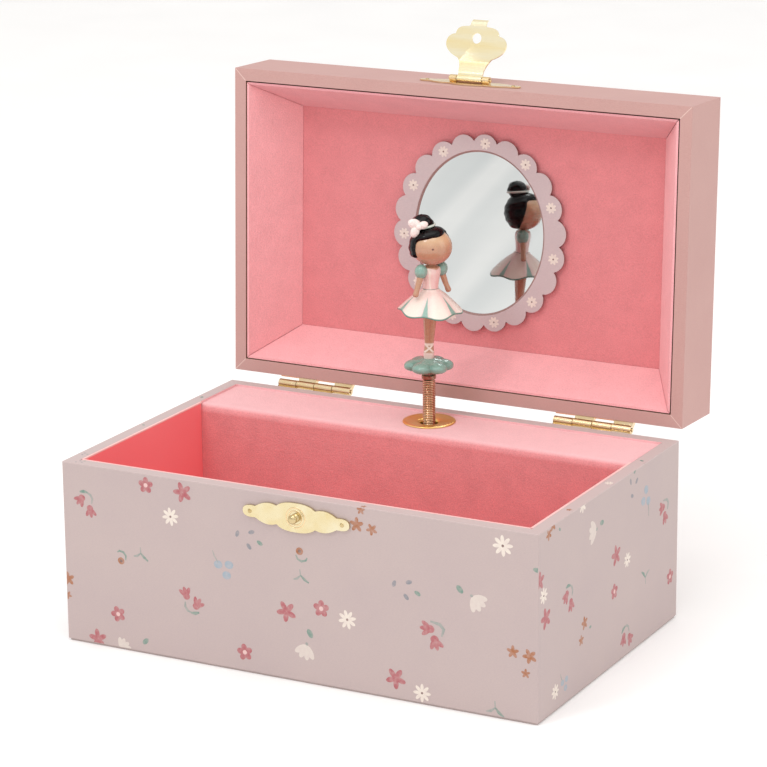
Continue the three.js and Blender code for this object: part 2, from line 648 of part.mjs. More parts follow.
function addDancer(group) {
  const dancer = new THREE.Group();
  dancer.position.set(0, SPINDLE_Y, 0);
  dancer.rotation.z = THREE.MathUtils.degToRad(FIGURE_TURN_DEGREES);
  add(dancer, 'dancer_flower_base', flowerBase(), greenResin);
  const figure = new THREE.Group();
  figure.position.z = FOOT;
  figure.rotation.y = THREE.MathUtils.degToRad(FIGURE_LEAN_DEGREES);
  const pieces = [
    ['dancer_body', dancerBody(), paleResin],
    ['dancer_head', dancerHead(), skinResin],
    ['dancer_hair', cut(dancerHair(), dancerHead(RESIN_GAP)), hairResin],
    ['dancer_bow', dancerBow(), paleResin],
  ];
  for (const [name, geometry, material] of pieces) {
    add(figure, name, geometry.translate(0, 0, -FOOT), material);
  }
  dancer.add(figure);
  group.add(dancer);
}

// ---------------------------------------------------------------- lid, drawn shut about the pins
const LID_BACK = -PIVOT_BEHIND;
const LID_FRONT = LID_BACK - (DEPTH - LID_SETBACK);
const LID_RIM = BASE_HEIGHT + LID_GAP - PIVOT_HEIGHT;
const LID_TOP = LID_RIM + LID_HEIGHT;
const LID_MIDDLE = (LID_FRONT + LID_BACK) / 2;
const LID_SKIN = PAPER + LID_GLUE;
const LID_WALL = LID_SKIN + BOARD;
const LID_INNER_X = HALF_WIDTH - LID_WALL;
const PANEL = LID_RIM + TRAY_DEPTH;

function addLidBoards(lid) {
  const outerX = HALF_WIDTH - LID_SKIN;
  const low = LID_RIM + LID_SKIN;
  const topLow = LID_TOP - LID_WALL;
  const high = topLow - LID_GLUE;
  const front = LID_FRONT + LID_SKIN;
  const back = LID_BACK - LID_SKIN;
  add(lid, 'lid_top_board', slab(-outerX, outerX, front, back, topLow, LID_TOP - LID_SKIN), fibreboard);
  add(lid, 'lid_front_board', slab(-outerX, outerX, front, front + BOARD, low, high), fibreboard);
  add(lid, 'lid_back_board', slab(-outerX, outerX, back - BOARD, back, low, high), fibreboard);
  for (const [name, side] of [['lid_left_board', -1], ['lid_right_board', 1]]) {
    const near = front + BOARD + LID_GLUE;
    const far = back - BOARD - LID_GLUE;
    const board = slab(-BOARD / 2, BOARD / 2, near, far, low, high);
    add(lid, name, board.translate(side * (outerX - BOARD / 2), 0, 0), fibreboard);
  }
}

function addLidPaper(lid) {
  const paper = slab(-HALF_WIDTH, HALF_WIDTH, LID_FRONT, LID_BACK, LID_RIM, LID_TOP);
  const boards = slab(
    -HALF_WIDTH + PAPER, HALF_WIDTH - PAPER, LID_FRONT + PAPER, LID_BACK - PAPER,
    LID_RIM + PAPER, LID_TOP - PAPER,
  );
  const mouth = slab(
    -LID_INNER_X, LID_INNER_X, LID_FRONT + LID_WALL, LID_BACK - LID_WALL, LID_RIM - 1, LID_RIM + 1,
  );
  add(lid, 'lid_paper_wrap', cut(paper, boards, mouth), lidPaper);
}

// A six-sided piece between two quads of corners, each listed counter-clockwise seen from above.
function hexahedron(bottom, top) {
  const corners = [...bottom, ...top].map(([x, y, z]) => new THREE.Vector3(x, y, z));
  const faces = [
    [0, 3, 2, 1], [4, 5, 6, 7], [0, 1, 5, 4], [1, 2, 6, 5], [2, 3, 7, 6], [3, 0, 4, 7],
  ];
  const positions = [];
  for (const [a, b, c, d] of faces) {
    for (const index of [a, b, c, a, c, d]) {
      positions.push(...corners[index].toArray());
    }
  }
  const geometry = new THREE.BufferGeometry();
  geometry.setAttribute('position', new THREE.Float32BufferAttribute(positions, 3));
  geometry.computeVertexNormals();
  return geometry;
}

// The tray in the lid: four splayed sides round a flat panel, of velvet-covered card.
function addLidTray(lid) {
  const rimX = LID_INNER_X - TRAY_CLEARANCE - LINING;
  const rimY = (DEPTH - LID_SETBACK) / 2 - LID_WALL - TRAY_CLEARANCE - LINING;
  const panelX = rimX - TRAY_SIDE_SPLAY;
  const panelY = rimY - TRAY_END_SPLAY;
  const low = LID_RIM + 0.3;
  const high = PANEL - LID_GLUE;
  const mitre = 0.15; // each side is this much short of its corners
  for (const [name, side] of [['lid_lining_front', -1], ['lid_lining_back', 1]]) {
    const level = (halfX, y, z) => {
      const inner = LID_MIDDLE + side * y;
      const outer = LID_MIDDLE + side * (y + LINING);
      const ring = [
        [-halfX + mitre, inner, z], [halfX - mitre, inner, z],
        [halfX + LINING - mitre, outer, z], [-halfX - LINING + mitre, outer, z],
      ];
      return side > 0 ? ring : ring.reverse();
    };
    add(lid, name, hexahedron(level(rimX, rimY, low), level(panelX, panelY, high)), velvet);
  }
  for (const [name, side] of [['lid_lining_left', -1], ['lid_lining_right', 1]]) {
    const level = (x, halfY, z) => {
      const ring = [
        [side * x, LID_MIDDLE - halfY + mitre, z],
        [side * (x + LINING), LID_MIDDLE - halfY - LINING + mitre, z],
        [side * (x + LINING), LID_MIDDLE + halfY + LINING - mitre, z],
        [side * x, LID_MIDDLE + halfY - mitre, z],
      ];
      return side > 0 ? ring : ring.reverse();
    };
    add(lid, name, hexahedron(level(rimX, rimY, low), level(panelX, panelY, high)), velvet);
  }
  const panel = slab(
    -panelX - 2, panelX + 2, LID_MIDDLE - panelY - 2, LID_MIDDLE + panelY + 2, PANEL, PANEL + 0.6,
  );
  add(lid, 'lid_lining_panel', panel, velvet);
}

// An oval whose edge bulges in round scallops.
function scallopedOval({ halfWidth, halfHeight, scallops, scallopRise }) {
  const steps = 5;
  const points = [];
  for (let scallop = 0; scallop < scallops; scallop += 1) {
    for (let step = 0; step < steps; step += 1) {
      const angle = ((scallop + step / steps) / scallops) * Math.PI * 2;
      const rise = scallopRise * Math.sin((step / steps) * Math.PI) ** 0.7;
      const x = (halfWidth - scallopRise + rise) * Math.cos(angle);
      const y = (halfHeight - scallopRise + rise) * Math.sin(angle);
      points.push([x, y]);
    }
  }
  return polygon(points);
}

function oval(halfWidth, halfHeight) {
  const shape = new THREE.Shape();
  shape.absellipse(0, 0, halfWidth, halfHeight, 0, Math.PI * 2, false, 0);
  return shape;
}

function addMirror(lid) {
  const { halfWidth, halfHeight, thickness } = MIRROR_GLASS;
  const place = (geometry, z) => {
    geometry.rotateZ(THREE.MathUtils.degToRad(MIRROR_TURN_DEGREES));
    return geometry.translate(MIRROR_RIGHT, LID_MIDDLE - MIRROR_UP, z);
  };
  const glassLow = PANEL - LID_GLUE - thickness;
  const glass = extruded(oval(halfWidth, halfHeight), thickness, 22);
  add(lid, 'mirror_glass', place(glass, glassLow), mirrorSilver);
  const outline = scallopedOval(MIRROR_FRAME);
  const opening = new THREE.Path();
  opening.absellipse(0, 0, MIRROR_OPENING.halfWidth, MIRROR_OPENING.halfHeight, 0, Math.PI * 2, true, 0);
  outline.holes.push(opening);
  const card = extruded(outline, MIRROR_CARD, 22);
  add(lid, 'mirror_frame', place(card, glassLow - LID_GLUE - MIRROR_CARD), frameCard);
}

function addLidHinges(lid) {
  for (const [name, x] of HINGES) {
    add(lid, `hinge_${name}_lid_leaf`, hingeLeaf(x, 1, 0), brass);
  }
}

// ---------------------------------------------------------------- hasp
const HASP_KNUCKLE = 1.3;
const HASP_KNUCKLE_HALF = 4.8;
const HASP_SHEET = 0.8;
const HASP_HOLE_AT = HASP_AXIS_RISE + LID_GAP + KNOB_DROP; // from the hinge to the middle of the hole

function addHaspPlate(lid) {
  const shape = claspOutline(19.7, 4.5);
  const axisZ = LID_RIM + HASP_AXIS_RISE;
  const axisY = LID_FRONT - HASP_AXIS_STAND_OFF;
  const plate = frontPlate(shape, LID_FRONT - GLUE, 0.5, 5).translate(0, 0, axisZ);
  const knuckles = [];
  for (const side of [-1, 1]) {
    const near = HASP_KNUCKLE_HALF + 0.3;
    const far = near + 2.6;
    const knuckle = barAlongX(HASP_KNUCKLE, Math.min(side * near, side * far), Math.max(side * near, side * far));
    knuckles.push(knuckle.translate(0, axisY, axisZ));
  }
  const bore = barAlongX(0.65, -20, 20, 12).translate(0, axisY, axisZ);
  const relief = slab(
    -HASP_KNUCKLE_HALF - 0.3, HASP_KNUCKLE_HALF + 0.3, LID_FRONT - 5, LID_FRONT, axisZ - 1.9, axisZ + 1.9,
  );
  const whole = cut(joined(plate, ...knuckles), bore, relief);
  add(lid, 'hasp_plate', whole.translate(CLASP_X, 0, 0), brass);
  const pin = barAlongX(0.5, -8.3, 8.3, 12).translate(CLASP_X, axisY, axisZ);
  add(lid, 'hasp_pin', pin, brass);
}

// The hasp's outline, drawn hanging down from its hinge at the origin.
function haspOutline() {
  const shape = new THREE.Shape();
  const neck = HASP_KNUCKLE_HALF;
  shape.moveTo(-neck, 0);
  shape.quadraticCurveTo(-neck + 0.3, -5, -6.6, -7.4);
  shape.quadraticCurveTo(-11.8, -9.4, -11.8, -12.6);
  shape.quadraticCurveTo(-11.6, -15.6, -8.4, -16);
  shape.quadraticCurveTo(-8.2, -18.8, -4.4, -18.9);
  shape.quadraticCurveTo(-3.2, -18.9, -3, -19.4);
  shape.lineTo(-2.8, -HASP_LENGTH - 2);
  shape.lineTo(2.8, -HASP_LENGTH - 2);
  shape.lineTo(3, -19.4);
  shape.quadraticCurveTo(3.2, -18.9, 4.4, -18.9);
  shape.quadraticCurveTo(8.2, -18.8, 8.4, -16);
  shape.quadraticCurveTo(11.6, -15.6, 11.8, -12.6);
  shape.quadraticCurveTo(11.8, -9.4, 6.6, -7.4);
  shape.quadraticCurveTo(neck - 0.3, -5, neck, 0);
  shape.holes.push(roundHole(0, -HASP_HOLE_AT, 1.9));
  return shape;
}

// The sheet's side view in (y, z): flat at the hinge, cranked out past the base, and curled at the tip.
function haspSheet() {
  const centreLine = [[0, 0], [0, -2.6], [-1.6, -6.4], [-1.6, -19.2], [-2.1, -20.6], [-3.2, -21.5]];
  const half = HASP_SHEET / 2;
  const outer = centreLine.map(([y, z]) => [y - half, z]);
  const inner = centreLine.map(([y, z]) => [y + half, z]);
  const shape = polygon([...outer, ...inner.reverse()]);
  return extruded(shape, 30).applyMatrix4(ALONG_X).translate(-15, 0, 0);
}

function addHasp(lid) {
  const hasp = new THREE.Group();
  hasp.position.set(CLASP_X, LID_FRONT - HASP_AXIS_STAND_OFF, LID_RIM + HASP_AXIS_RISE);
  hasp.rotation.x = THREE.MathUtils.degToRad(HASP_REST_DEGREES);
  const outline = frontPlate(haspOutline(), 10, 20, 6);
  const sheet = solid(haspSheet()).intersect(solid(outline));
  const knuckle = barAlongX(HASP_KNUCKLE, -HASP_KNUCKLE_HALF, HASP_KNUCKLE_HALF);
  const bore = barAlongX(0.65, -20, 20, 12);
  add(hasp, 'hasp', cut(sheet.add(solid(knuckle)), bore), brass);
  lid.add(hasp);
}

// ---------------------------------------------------------------- assembly
addCarcase(box);
addBasePaper(box);
addCompartment(box);
addDeck(box);
addEscutcheon(box);
addClasp(box);
addBaseHinges(box);
addMovementFrame(box);
addComb(box);
addCylinder(box);
addBarrel(box);
addIdler(box);
addGovernor(box);
addStopLever(box);
addWindingKey(box);
addKeyCollar(box);
addSpring(box);
addDancer(box);

const lid = new THREE.Group();
lid.position.set(0, PIVOT_Y, PIVOT_HEIGHT);
lid.rotation.x = THREE.MathUtils.degToRad(-LID_OPEN_DEGREES);
addLidBoards(lid);
addLidPaper(lid);
addLidTray(lid);
addMirror(lid);
addLidHinges(lid);
addHaspPlate(lid);
addHasp(lid);
box.add(lid);

export default box;
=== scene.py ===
"""Looks of the ballerina jewellery box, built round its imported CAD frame."""

import json
import random
from math import atan2, cos, hypot, pi, radians, remainder, sin, sqrt, tau

import bpy
from mathutils import Matrix, Vector


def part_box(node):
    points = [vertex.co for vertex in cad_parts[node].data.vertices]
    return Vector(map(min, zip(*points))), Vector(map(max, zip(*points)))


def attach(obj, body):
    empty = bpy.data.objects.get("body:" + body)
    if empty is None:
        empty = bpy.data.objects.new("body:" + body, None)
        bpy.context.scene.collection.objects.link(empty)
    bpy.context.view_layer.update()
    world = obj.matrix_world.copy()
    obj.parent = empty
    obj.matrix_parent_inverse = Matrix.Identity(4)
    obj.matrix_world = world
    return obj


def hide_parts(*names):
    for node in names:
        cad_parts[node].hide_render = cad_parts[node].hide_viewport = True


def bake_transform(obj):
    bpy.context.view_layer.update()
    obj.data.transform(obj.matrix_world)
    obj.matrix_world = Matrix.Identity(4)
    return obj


MM = 0.001
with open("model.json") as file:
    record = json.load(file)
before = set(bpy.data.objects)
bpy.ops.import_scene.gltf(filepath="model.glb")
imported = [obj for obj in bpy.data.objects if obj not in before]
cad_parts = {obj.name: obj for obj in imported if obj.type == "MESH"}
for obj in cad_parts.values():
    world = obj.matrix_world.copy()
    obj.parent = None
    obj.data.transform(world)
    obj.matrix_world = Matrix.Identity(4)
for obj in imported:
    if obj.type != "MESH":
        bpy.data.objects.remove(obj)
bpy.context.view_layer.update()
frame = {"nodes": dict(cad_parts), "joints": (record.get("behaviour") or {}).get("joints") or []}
NODES = frame["nodes"]


def linear(red, green, blue):
    """A colour as it looks on a screen, each part from 0 to 255, in Blender's linear values."""

    def channel(value):
        value /= 255
        return value / 12.92 if value <= 0.04045 else ((value + 0.055) / 1.055) ** 2.4

    return (channel(red), channel(green), channel(blue), 1.0)


def mix(a, b, share):
    return tuple(p + (q - p) * share for p, q in zip(a, b))


BLACK = (0, 0, 0, 1)
WHITE = (1, 1, 1, 1)


def smoothstep(low, high, value):
    share = min(1.0, max(0.0, (value - low) / (high - low)))
    return share * share * (3 - 2 * share)


# ------------------------------------------------------------------ materials
class Shader:
    """Wires one Principled material. Textures read the piece's own coordinates, in metres."""

    def __init__(self, name):
        self.material = bpy.data.materials.new(name)
        self.material.use_nodes = True
        self.tree = self.material.node_tree
        kinds = {node.type: node for node in self.tree.nodes}
        self.main = kinds["BSDF_PRINCIPLED"]
        self.place = self.add("ShaderNodeTexCoord").outputs["Object"]

    def add(self, kind, inputs=None, **settings):
        node = self.tree.nodes.new(kind)
        for key, value in settings.items():
            setattr(node, key, value)
        for key, value in (inputs or {}).items():
            self.feed(node, key, value)
        return node

    def feed(self, node, key, value):
        if isinstance(value, bpy.types.NodeSocket):
            self.tree.links.new(value, node.inputs[key])
        else:
            node.inputs[key].default_value = value

    def noise(self, size, detail=2.0, stretch=(1, 1, 1), turn=0.0):
        """Noise with features about size millimetres across, as a value from 0 to 1, turned about Y."""
        inputs = {
            "Vector": self.place,
            "Rotation": (0, radians(turn), 0),
            "Scale": tuple(1 / part for part in stretch),
        }
        place = self.add("ShaderNodeMapping", inputs, vector_type="TEXTURE")
        inputs = {"Vector": place.outputs[0], "Scale": 1 / (size * MM), "Detail": detail}
        return self.add("ShaderNodeTexNoise", inputs).outputs["Fac"]

    def span(self, value, low, high, start=0.3, end=0.7):
        inputs = {0: value, 1: start, 2: end, 3: low, 4: high}
        return self.add("ShaderNodeMapRange", inputs).outputs[0]

    def above(self, low, high):
        """From 0 at one height to 1 at another, in the piece's own millimetres."""
        up = self.add("ShaderNodeSeparateXYZ", {0: self.place}).outputs["Z"]
        return self.span(up, 0, 1, low * MM, high * MM)

    def blend(self, share, a, b, mode="MIX"):
        node = self.add("ShaderNodeMix", data_type="RGBA", blend_type=mode)
        self.feed(node, 0, share)
        self.feed(node, 6, a)
        self.feed(node, 7, b)
        return node.outputs[2]

    def average(self, a, b, share=0.5):
        """The two values mixed, with share of b."""
        node = self.add("ShaderNodeMix", {0: share, 2: a, 3: b}, data_type="FLOAT")
        return node.outputs[0]

    def relief(self, *layers):
        """Bumps, each a value from 0 to 1 and its height in millimetres."""
        normal = None
        for value, height in layers:
            inputs = {"Height": value, "Distance": height * MM, "Strength": 1.0}
            if normal:
                inputs["Normal"] = normal
            normal = self.add("ShaderNodeBump", inputs).outputs[0]
        self.feed(self.main, "Normal", normal)

    def finish(self, **inputs):
        for key, value in inputs.items():
            self.feed(self.main, key.replace("_", " "), value)
        return self.material


def paper(name, dark, light, rough=(0.5, 0.66), height=0.03, lit_rim=None):
    """Matt printed paper: a broad tint, fine fibres and a faint tooth. The last argument, (colour, low,
    high),
    is painted light: a paler colour above those heights, for the lit top of the rim."""
    shader = Shader(name)
    broad = shader.noise(26, 3)
    fibres = shader.noise(0.7, 4, (1, 1, 3))
    share = shader.span(shader.average(broad, fibres, 0.65), 0, 1, 0.36, 0.64)
    shader.relief((fibres, height), (shader.noise(5, 2), height))
    tint = shader.blend(share, dark, light)
    # Painted light: above the given heights the paper takes a paler tint, for the lit top of the rim.
    if lit_rim:
        colour, *heights = lit_rim
        lit_rim_tint = shader.blend(share, mix(dark, colour, 0.85), colour)
        tint = shader.blend(shader.above(*heights), tint, lit_rim_tint)
    return shader.finish(Base_Color=tint, Roughness=shader.span(fibres, *rough))


def velvet_colour(shader, colour, depth):
    """The colour, darker by depth where the nap lies over, and the nap itself."""
    nap = shader.noise(0.45, 4)
    patches = shader.noise(7, 3)
    share = shader.span(shader.average(nap, patches, 0.3), 0, 1, 0.36, 0.64)
    return shader.blend(share, mix(colour, BLACK, depth), colour), nap


def velvet(name, colour, depth=0.16, above=None):
    """Short-pile velvet. above = (colour, low, high) is painted light: a paler copy of the velvet from
    those heights up.
    """
    shader = Shader(name)
    tint, nap = velvet_colour(shader, colour, depth)
    # Painted light: a paler, lit copy of the velvet over the given heights.
    if above:
        lit_colour, *heights = above
        lit_tint, _ = velvet_colour(shader, lit_colour, depth * 0.5)
        tint = shader.blend(shader.above(*heights), tint, lit_tint)
    shader.relief((nap, 0.16), (shader.noise(2.2, 2), 0.1))
    return shader.finish(
        Base_Color=tint,
        Roughness=shader.span(nap, 0.82, 0.95),
        Sheen_Weight=0.35,
        Sheen_Roughness=0.4,
        Sheen_Tint=mix(colour, WHITE, 0.5),
    )


def metal(name, colour, dull, rough=(0.16, 0.3), scratch=(1, 1, 9), patches=(1, 1, 1)):
    """Plated sheet metal with faint rolling lines and a little tarnish in patches. Patches stretched into
    bands, as on the hasp, are painted reflections.
    """
    shader = Shader(name)
    lines = shader.noise(0.5, 3, scratch)
    # Tarnish in patches; where stretched into bands, as on the hasp, painted reflection.
    tarnish_and_reflection = shader.noise(6, 4, patches)
    shader.relief((lines, 0.012), (shader.noise(2.5, 2), 0.02))
    return shader.finish(
        Base_Color=shader.blend(shader.span(tarnish_and_reflection, 0, 1), colour, dull),
        Metallic=1.0,
        Roughness=shader.span(shader.average(lines, tarnish_and_reflection), *rough),
    )


def resin(name, colour, rough=(0.2, 0.32), coat=0.5, gloss=0.5, attribute=None):
    """Hand-painted glossy resin. attribute names the painted colours the mesh carries."""
    shader = Shader(name)
    brush = shader.noise(1.1, 3)
    if attribute:
        colour = shader.add("ShaderNodeVertexColor", layer_name=attribute).outputs["Color"]
    shade = shader.blend(shader.span(brush, 0, 0.14), colour, (0.45, 0.4, 0.4, 1), "MULTIPLY")
    shader.relief((brush, 0.02), (shader.noise(3.5, 2), 0.05))
    return shader.finish(
        Base_Color=shade,
        Roughness=shader.span(brush, *rough),
        Specular_IOR_Level=gloss,
        Coat_Weight=coat,
        Coat_Roughness=0.1,
    )


def wood_fibre(name):
    shader = Shader(name)
    fibres = shader.noise(0.6, 5, (1, 1, 3))
    shader.relief((fibres, 0.1))
    colour = shader.blend(shader.span(fibres, 0, 1), linear(128, 96, 68), linear(176, 140, 104))
    return shader.finish(Base_Color=colour, Roughness=0.85)


def silvered(name):
    """Silvered glass, with faint diagonal streaks of painted reflection in its colour, and a little
    unevenness in the polish.
    """
    shader = Shader(name)
    # Painted reflection: faint, paler diagonal streaks across the glass.
    reflection_streaks = shader.span(shader.noise(13, 1, (1, 1, 0.12), 42), 0, 1, 0.38, 0.62)
    colour = shader.blend(reflection_streaks, linear(190, 194, 194), linear(205, 207, 206))
    smears = shader.span(shader.noise(4, 3), 0.015, 0.05)
    return shader.finish(Base_Color=colour, Metallic=1.0, Roughness=smears)


def ink(name, colour):
    """Printing ink, uneven as watercolour is, on the paper's own tooth."""
    shader = Shader(name)
    wash = shader.noise(1.3, 3)
    paler = mix(colour, linear(206, 186, 182), 0.38)
    shader.relief((shader.noise(0.7, 4), 0.03))
    return shader.finish(
        Base_Color=shader.blend(shader.span(wash, 0, 1), colour, paler),
        Roughness=shader.span(wash, 0.55, 0.68),
    )


# Painted light: the top of the printed paper's rim is painted paler than its walls.
LIT_RIM_PAPER = (linear(200, 182, 179), 64.5, 64.9)
PRINTED_PAPER = paper("printed_paper", linear(185, 167, 166), linear(192, 174, 170), lit_rim=LIT_RIM_PAPER)
LID_PAPER = paper("lid_paper", linear(192, 149, 143), linear(199, 158, 151))
UNDERSIDE = paper("underside_paper", linear(176, 158, 156), linear(190, 172, 168), height=0.06)
CORAL = paper("coral_paper", linear(254, 127, 131), linear(255, 137, 140), (0.42, 0.52), 0.015)
CARD_EDGE = paper("card_edge", linear(240, 190, 186), linear(248, 208, 202))
FRAME_CARD = paper("frame_card", linear(194, 177, 178), linear(203, 186, 186))
# Partly painted shade: the cut card's darker colour also stands for the shadow in the gap behind the card.
FRAME_EDGE_AND_SHADE = paper("frame_edge_and_shade", linear(142, 112, 108), linear(168, 136, 130))
FIBREBOARD = wood_fibre("fibreboard")
# Painted light and shade: the lid's lining is one velvet in copies, the panel in its middle colour, the
# side and bottom slopes lit, the top slope shaded.
PANEL_VELVET = velvet("panel_velvet", linear(231, 143, 146))
LIT_VELVET = velvet("lit_velvet", linear(252, 183, 186))
SHADED_VELVET = velvet("shaded_velvet", linear(230, 160, 164))
FLOOR_VELVET = velvet("floor_velvet", linear(238, 150, 153))
# Painted light and shade: the deck velvet is a darker rose down the partition's face and a paler, lit pink
# on the deck's top.
DECK_VELVET = velvet("deck_velvet", linear(238, 156, 158), 0.2, (linear(247, 196, 198), 63.1, 64.15))
PALE_BRASS = metal("pale_brass", linear(240, 218, 182), linear(230, 202, 150))
# Painted reflection: the hasp's deeper yellow lies in long bands along its width.
HASP_BRASS = metal("hasp_brass", linear(255, 249, 224), linear(248, 227, 168), patches=(0.12, 1, 1))
CLASP_BRASS = metal("clasp_brass", linear(228, 218, 186), linear(222, 204, 156))
# Painted shade: a darker copy of the pale brass, for the clasp's knob and the nails.
SHADED_BRASS = metal("shaded_brass", linear(214, 194, 150), linear(190, 164, 112), (0.12, 0.24))
GOLD_BRASS = metal("gold_brass", linear(244, 190, 92), linear(226, 160, 62))
GILT = metal("gilt", linear(255, 228, 152), linear(246, 206, 116), (0.28, 0.4))
STEEL = metal("steel", linear(196, 196, 198), linear(170, 170, 174), (0.25, 0.4))
COPPER = metal("copper_wire", linear(226, 194, 164), linear(190, 148, 120), (0.12, 0.22), (1, 1, 1))
DARK_COPPER = metal("dark_copper", linear(172, 154, 130), linear(146, 120, 98), (0.2, 0.3))
SILVERED = silvered("mirror_silver")
PALE_RESIN = resin("pale_resin", linear(246, 230, 224))
BAND_RESIN = resin("band_resin", linear(214, 224, 212))
HAIR_RESIN = resin("hair_resin", linear(10, 6, 8), (0.14, 0.22), 0.0, 0.22)
PAINTED_RESIN = resin("painted_resin", None, attribute="paint")


# ------------------------------------------------------------------ CAD pieces, dressed
SHARP = radians(34)


def crisp_group():
    """Shades smooth across gentle edges and keeps sharp ones sharp."""
    group = bpy.data.node_groups.new("crisp", "GeometryNodeTree")
    group.interface.new_socket("Geometry", in_out="INPUT", socket_type="NodeSocketGeometry")
    group.interface.new_socket("Geometry", in_out="OUTPUT", socket_type="NodeSocketGeometry")
    start = group.nodes.new("NodeGroupInput")
    end = group.nodes.new("NodeGroupOutput")
    faces = group.nodes.new("GeometryNodeSetShadeSmooth")
    edges = group.nodes.new("GeometryNodeSetShadeSmooth")
    edges.domain = "EDGE"
    edges.inputs["Shade Smooth"].default_value = False
    angle = group.nodes.new("GeometryNodeInputMeshEdgeAngle")
    sharp = group.nodes.new("FunctionNodeCompare")
    sharp.inputs[1].default_value = SHARP
    link = group.links.new
    link(start.outputs[0], faces.inputs["Geometry"])
    link(faces.outputs[0], edges.inputs["Geometry"])
    link(angle.outputs["Unsigned Angle"], sharp.inputs[0])
    link(sharp.outputs[0], edges.inputs["Selection"])
    link(edges.outputs[0], end.inputs[0])
    return group


CRISP = crisp_group()


def dress(names, material, bevel=0.0):
    """Gives CAD nodes their material, and rounds their edges by bevel millimetres."""
    for name in names.split():
        node = NODES[name]
        normals = node.data.attributes.get("custom_normal")
        if normals:
            node.data.attributes.remove(normals)
        node.data.materials.clear()
        node.data.materials.append(material)
        node.modifiers.new("weld", "WELD").merge_threshold = 1e-6
        if bevel:
            flat = node.modifiers.new("flat", "DECIMATE")
            flat.decimate_type = "DISSOLVE"
            flat.angle_limit = radians(0.5)
            round_off = node.modifiers.new("round", "BEVEL")
            round_off.width = bevel * MM
            round_off.segments = 2
            round_off.limit_method = "ANGLE"
            round_off.angle_limit = SHARP
        node.modifiers.new("crisp", "NODES").node_group = CRISP
        node.modifiers.new("even", "WEIGHTED_NORMAL").keep_sharp = True


def named(part):
    """The CAD nodes with this part in their names."""
    return " ".join(name for name in NODES if part in name)


dress("base_paper_wrap", PRINTED_PAPER, 0.18)
dress("lid_paper_wrap", LID_PAPER, 0.18)
dress("underside_paper", UNDERSIDE)
dress("lining_front lining_left lining_right", CORAL)
dress("floor_lining", FLOOR_VELVET)
dress("velvet_cover", DECK_VELVET)
# The lid's lining, in its painted lit and shaded copies of one velvet.
dress("lid_lining_panel", PANEL_VELVET)
dress("lid_lining_front", SHADED_VELVET)
dress("lid_lining_left lid_lining_right lid_lining_back", LIT_VELVET)
dress(named("_board"), FIBREBOARD)
dress("hasp_plate", PALE_BRASS, 0.15)
dress("clasp_plate", CLASP_BRASS, 0.15)
dress("hasp", HASP_BRASS, 0.12)
dress(named("hinge_"), PALE_BRASS)
dress("hasp_pin winding_key key_collar", PALE_BRASS)
dress("movement_bedplate governor_frame music_cylinder spring_barrel idler_wheel", GOLD_BRASS)
dress("movement_comb governor_fly stop_lever winding_arbor", STEEL)
dress("spring_top_cup", DARK_COPPER)
dress("mirror_glass", SILVERED)


# ------------------------------------------------------------------ building blocks
def turn_about(axis, degrees):
    return Matrix.Rotation(radians(degrees), 4, axis)


def shift(x, y, z):
    return Matrix.Translation(Vector((x, y, z)) * MM)


def angles(count):
    """The directions of points spaced evenly round a circle."""
    return [tau * step / count for step in range(count)]


IDENTITY = Matrix.Identity(4)
# The lid is drawn shut about its pins, as in the CAD, and then stood open.
lid_joint = next(joint for joint in frame["joints"] if joint["name"] == "lid_hinge")
LID = Matrix.Translation(lid_joint["pos_m"]) @ turn_about("X", -lid_joint["range_deg"][1])
FRONT = -57.5
SIDE = 90.0
RIM = 65.0
LID_FRONT = -116.0
LID_BACK = -2.8
LID_RIM = -0.3
LID_MIDDLE = (LID_FRONT + LID_BACK) / 2
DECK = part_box("velvet_cover")[1].z / MM
spring_low, spring_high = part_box("coil_spring")
SPINDLE = Vector(((spring_low.x + spring_high.x) / 2, (spring_low.y + spring_high.y) / 2, 0))


def build(
    name, points, faces, materials, body, slot, smooth=True, place=IDENTITY, paint=None, indices=None,
    replaced=None,
):
    """A piece from points in millimetres, put in its place. It rides on its body, if it has one, and
    stands for the CAD node it replaces."""
    mesh = bpy.data.meshes.new(name)
    mesh.from_pydata([place @ (Vector(point) * MM) for point in points], [], faces)
    materials = materials if isinstance(materials, list) else [materials]
    for material in materials:
        mesh.materials.append(material)
    if indices:
        mesh.polygons.foreach_set("material_index", indices)
    mesh.polygons.foreach_set("use_smooth", [smooth] * len(faces))
    if paint:
        colours = mesh.color_attributes.new("paint", "FLOAT_COLOR", "POINT")
        colours.data.foreach_set("color", [part for colour in paint for part in colour])
    piece = bpy.data.objects.new(name, mesh)
    bpy.context.scene.collection.objects.link(piece)
    if body:
        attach(piece, body)
    if replaced:
        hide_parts(replaced)
    return piece


def loft(rings):
    """Faces of a closed skin over rings of equal length. A ring of one point is a pole."""
    points, starts = [], []
    for ring in rings:
        starts.append(len(points))
        points += ring
    faces = []
    for index in range(len(rings) - 1):
        low, high = starts[index], starts[index + 1]
        below, above = len(rings[index]), len(rings[index + 1])
        count = max(below, above)
        for step in range(count):
            after = (step + 1) % count
            if below == 1:
                faces.append((low, high + after, high + step))
            elif above == 1:
                faces.append((low + step, low + after, high))
            else:
                faces.append((low + step, low + after, high + after, high + step))
    return points, faces


def spun(profile, steps, at):
    """Rings of steps points, each point at(radius, angle, height), from (radius, height) pairs."""
    rings = []
    for radius, height in profile:
        rings.append([at(radius, angle, height) for angle in angles(steps if radius else 1)])
    return rings


def turned(profile, steps):
    """A closed shape turned about Z from (radius, height) pairs that start and end on the axis."""
    return loft(spun(profile, steps, lambda r, a, h: (r * cos(a), r * sin(a), h)))


